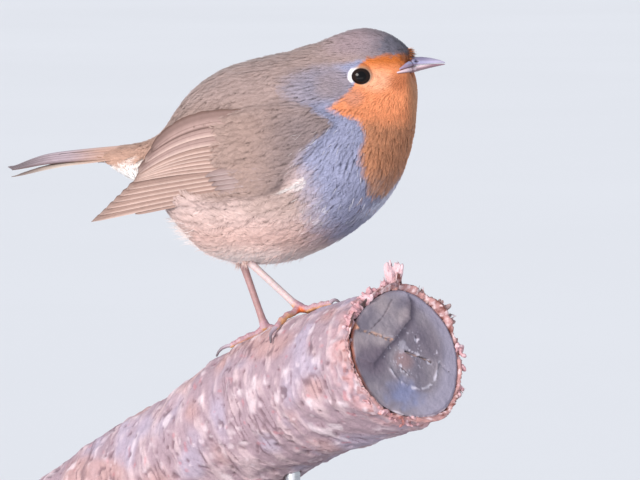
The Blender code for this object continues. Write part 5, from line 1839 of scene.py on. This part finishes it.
def torn_bark():
    """Crumpled shreds with loose fibres that stand ragged round the sawn wood."""
    rows = [(angle, wide, *shape) for angle, wide, count, *shape in TORN for _ in range(count)]
    angle, wide, length, lean, thick = np.array(rows).T
    number = len(rows)
    turns = np.radians(angle + rng.normal(0, 1, number) * wide)
    right, up = np.cos(turns)[:, None], np.sin(turns)[:, None]
    out = FACE_RIGHT * right + FACE_UP * up
    tall = length > TALL
    long = length * rng.uniform(np.where(tall, 0.66, 0.3), 1.0) ** 1.3
    along = (FACE_UP * right - FACE_RIGHT * up) * rng.choice((-1, 1), (number, 1))
    along = along * (lean <= LAID)[:, None]
    ways = FACE_WAY * (0.8 - 0.6 * lean)[:, None] + out * lean[:, None] + along
    ways = unit(ways + np.where(tall, 0.1, 0.26)[:, None] * rng.normal(size=(number, 3)))
    reach = face_radius(turns) + rng.uniform(0.5, 2.4, number)
    feet = FACE_CENTRE + out * reach[:, None] - FACE_WAY * rng.uniform(-0.3, 1.6, number)[:, None]
    shreds = [
        lump(foot + way * size * 0.45, way, size * 0.62, width)
        for foot, way, size, width in zip(feet, ways, long, thick * rng.uniform(0.45, 1.0, number))
    ]
    points, quads = one_surface(shreds, 0.24, 1)
    normals = point_normals(points, quads)
    right, up, ahead, _angle = on_face(points)
    fibrous = np.column_stack([np.arctan2(up, right) * 20, np.hypot(right, up) * 0.3, ahead * 0.45])
    crumple = noise(fibrous, 0.8, 51) + 0.6 * noise(fibrous, 0.45, 52)
    points = points + normals * (0.38 * crumple)[:, None]
    right, up, _ahead, angle = on_face(points)
    deep = step(3.2, 1.2, up - face_radius(np.radians(angle)))
    low = step(0.1, -0.5, up / 20) * step(2, -10, right)
    colours = layered(
        TORN_PINK,
        # painted highlights on the raised crumples
        (TORN_PALE, 0.7 * step(0.0, 0.8, crumple)),
        (TORN_RED, 0.45 * step(-0.1, -0.9, crumple)),
        (TORN_DARK, 0.6 * step(0.35, 0.7, noise(points, 1.7, 53))),
        (TORN_BROWN, 0.65 * step(5, 16, angle) * step(78, 66, angle)),
        (TORN_PALE, 0.6 * step(7, 3, np.abs(angle - 85))),
        (rgb(214, 128, 88), 0.5 * deep * step(9, 4, np.abs(angle - 84))),
        (rgb(176, 96, 72), 0.7 * low * step(-0.2, 0.4, noise(points, 2.0, 54))),
    )
    build("torn_bark", points, quads, BARK, colours)

    each = np.repeat(np.flatnonzero((length > FRAYED) & (lean > LAID)), FIBRES_PER_SHRED)
    count = len(each)
    starts = feet[each] + ways[each] * long[each, None] * rng.uniform(0.2, 0.8, (count, 1))
    starts = starts + rng.normal(0, 0.35, (count, 3))
    loose = unit(ways[each] + rng.normal(0, 0.35, (count, 3)))
    tint = mix(TORN_PINK, TORN_PALE, rng.random(count))
    tint = mix(tint, TORN_DARK, (rng.random(count) < 0.2) * 0.8)
    sizes = np.minimum(long[each], 3.0) * rng.uniform(0.3, 0.7, count)
    radius = rng.uniform(0.08, 0.2, count)
    droop = rng.normal(0, 0.3, (count, 3))
    hairs("torn_bark_fibres", starts, loose, sizes, radius, droop, tint, BARK)


# ---- the stand ----------------------------------------------------------------------
TURNED_SIDES = 160
AXIS_GAP = 0.01  # a turned piece's ends close to this radius
EDGE_ROUND = 1.8  # the rounding of the base's upper edge
# A rod's collar: out from the rod and up from the base's top, at each step.
COLLAR = [(0.0, 0.0), (2.6, 0.02), (2.6, 1.0), (2.2, 1.5), (0.5, 1.7), (0.0, 2.2)]


def turned(name, node, profile, look):
    """A turned piece round a node's upright axis, from its radius and height at each step."""
    middle_place = to_bird(middle(node)[:])
    low = to_bird(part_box(node)[0][:])[2]
    turns = np.arange(TURNED_SIDES) * 2 * math.pi / TURNED_SIDES
    radius, height = [column[:, None] for column in np.array(profile).T]
    rings = np.stack(np.broadcast_arrays(radius * np.cos(turns), radius * np.sin(turns), height), axis=-1)
    points = rings.reshape(-1, 3) + (middle_place[0], middle_place[1], low)
    quads = rings_of_quads(np.arange(len(points)).reshape(len(profile), TURNED_SIDES))
    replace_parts(build(name, points, quads, look, sharp=30), node)


def stand():
    """The turned base with a groove near its rim, and two rods with collars."""
    low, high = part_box("stand_base")
    radius, height = (high[0] - low[0]) / 2 / MM, (high[2] - low[2]) / MM
    edge = [
        (radius - EDGE_ROUND + EDGE_ROUND * math.sin(a), height - EDGE_ROUND + EDGE_ROUND * math.cos(a))
        for a in np.linspace(math.pi / 2, 0, 7)
    ]
    groove = [(6.0, 0.0), (6.4, 0.5), (7.2, 0.5), (7.6, 0.0)]  # in from the rim and down
    profile = [(AXIS_GAP, 0.0), (radius - 1.0, 0.0), (radius - 0.3, 0.3), (radius, 1.0), *edge]
    profile += [(radius - inward, height - down) for inward, down in groove]
    turned("stand_base_turned", "stand_base", [*profile, (AXIS_GAP, height)], STAND)
    for place in ("front", "back"):
        node = "stand_rod_" + place
        low_rod, high_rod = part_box(node)
        rod = (high_rod[0] - low_rod[0]) / 2 / MM
        long = (high_rod[2] - low_rod[2]) / MM
        seat = (high[2] - low_rod[2]) / MM
        profile = [(AXIS_GAP, 0.0), (rod, 0.0), *[(rod + out, seat + up) for out, up in COLLAR]]
        profile += [(rod, long - 0.4), (rod - 0.4, long), (AXIS_GAP, long)]
        turned("stand_rod_turned_" + place, node, profile, STEEL)


skin_piece()
for name, side in SIDES.items():
    eyeball(name, side)
    foot(name)
    leg_down(name)
for part in ("upper", "lower"):
    bill_half(part)
bristles()
bill_tufts()
wisps()
flank_tuft()
bark()
wood_face()
torn_bark()
stand()
wood_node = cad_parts["perch_wood"]
wood_node.data.materials.clear()
wood_node.data.materials.append(INNER_WOOD)


# ---- camera, light and floor --------------------------------------------------------
VIEW_HEIGHT = math.radians(4.0)  # the camera looks down a little
VIEW_AIM = (11.875, 25.0)  # the picture's middle from the bird's zero point, right and up, mm
VIEW_WIDTH = 200.0  # mm across the picture, at the bird
LENS = 300.0
SENSOR = 36.0

zero = Vector(to_world(np.zeros(3)))
ahead = Vector((0, math.cos(VIEW_HEIGHT), -math.sin(VIEW_HEIGHT)))
upward = Vector((0, math.sin(VIEW_HEIGHT), math.cos(VIEW_HEIGHT)))
target = zero + (Vector((1, 0, 0)) * VIEW_AIM[0] + upward * VIEW_AIM[1]) * MM
lens = bpy.data.cameras.new("camera")
lens.lens = LENS
lens.sensor_width = SENSOR
lens.clip_end = 60.0
camera = bpy.data.objects.new("camera", lens)
camera.location = target - ahead * (VIEW_WIDTH * MM * LENS / SENSOR)
camera.rotation_euler = ahead.to_track_quat("-Z", "Y").to_euler()
bpy.context.scene.collection.objects.link(camera)
bpy.context.scene.camera = camera
bpy.context.scene.view_settings.view_transform = "Standard"


def sun(name, towards, strength, colour, softness):
    data = bpy.data.lights.new(name, "SUN")
    data.energy = strength
    data.color = colour
    data.angle = math.radians(softness)
    obj = bpy.data.objects.new(name, data)
    obj.rotation_euler = Vector(towards).to_track_quat("-Z", "Y").to_euler()
    bpy.context.scene.collection.objects.link(obj)


sun("key", (0.55, 0.80, -0.27), 3.55, (1.0, 0.95, 0.90), 26)

# A wide low lamp before the stand lights the belly and the branch from beneath.
LOW_LAMP_PLACE = zero + Vector((-0.02, -0.34, -0.062))
low_lamp = bpy.data.lights.new("low_front", "AREA")
low_lamp.shape = "RECTANGLE"
low_lamp.size, low_lamp.size_y = 0.5, 0.07
low_lamp.energy = 0.22
low_lamp.color = (1.0, 0.95, 0.95)
low_light = bpy.data.objects.new("low_front", low_lamp)
low_light.location = LOW_LAMP_PLACE
low_light.rotation_euler = (zero + Vector((0, 0, 0.03)) - LOW_LAMP_PLACE).to_track_quat("-Z", "Y").to_euler()
low_light.visible_camera = False
bpy.context.scene.collection.objects.link(low_light)

world = bpy.data.worlds.new("studio")
world.use_nodes = True
world.node_tree.nodes["Background"].inputs["Color"].default_value = (0.80, 0.86, 0.96, 1.0)
world.node_tree.nodes["Background"].inputs["Strength"].default_value = 0.85
bpy.context.scene.world = world

FLOOR_SIZE = 60.0
bm = bmesh.new()
bmesh.ops.create_grid(bm, x_segments=1, y_segments=1, size=FLOOR_SIZE)
floor_mesh = bpy.data.meshes.new("floor")
bm.to_mesh(floor_mesh)
bm.free()
floor = bpy.data.objects.new("floor", floor_mesh)
bpy.context.scene.collection.objects.link(floor)
paper = Look("Studio floor", 0.9, Specular_IOR_Level=0.1)
paper_colour = paper.shaded(colour4((0.78, 0.78, 0.79)), paper.clouds(900.0), 0.97, 1.03)
floor_mesh.materials.append(paper.finish(paper_colour))
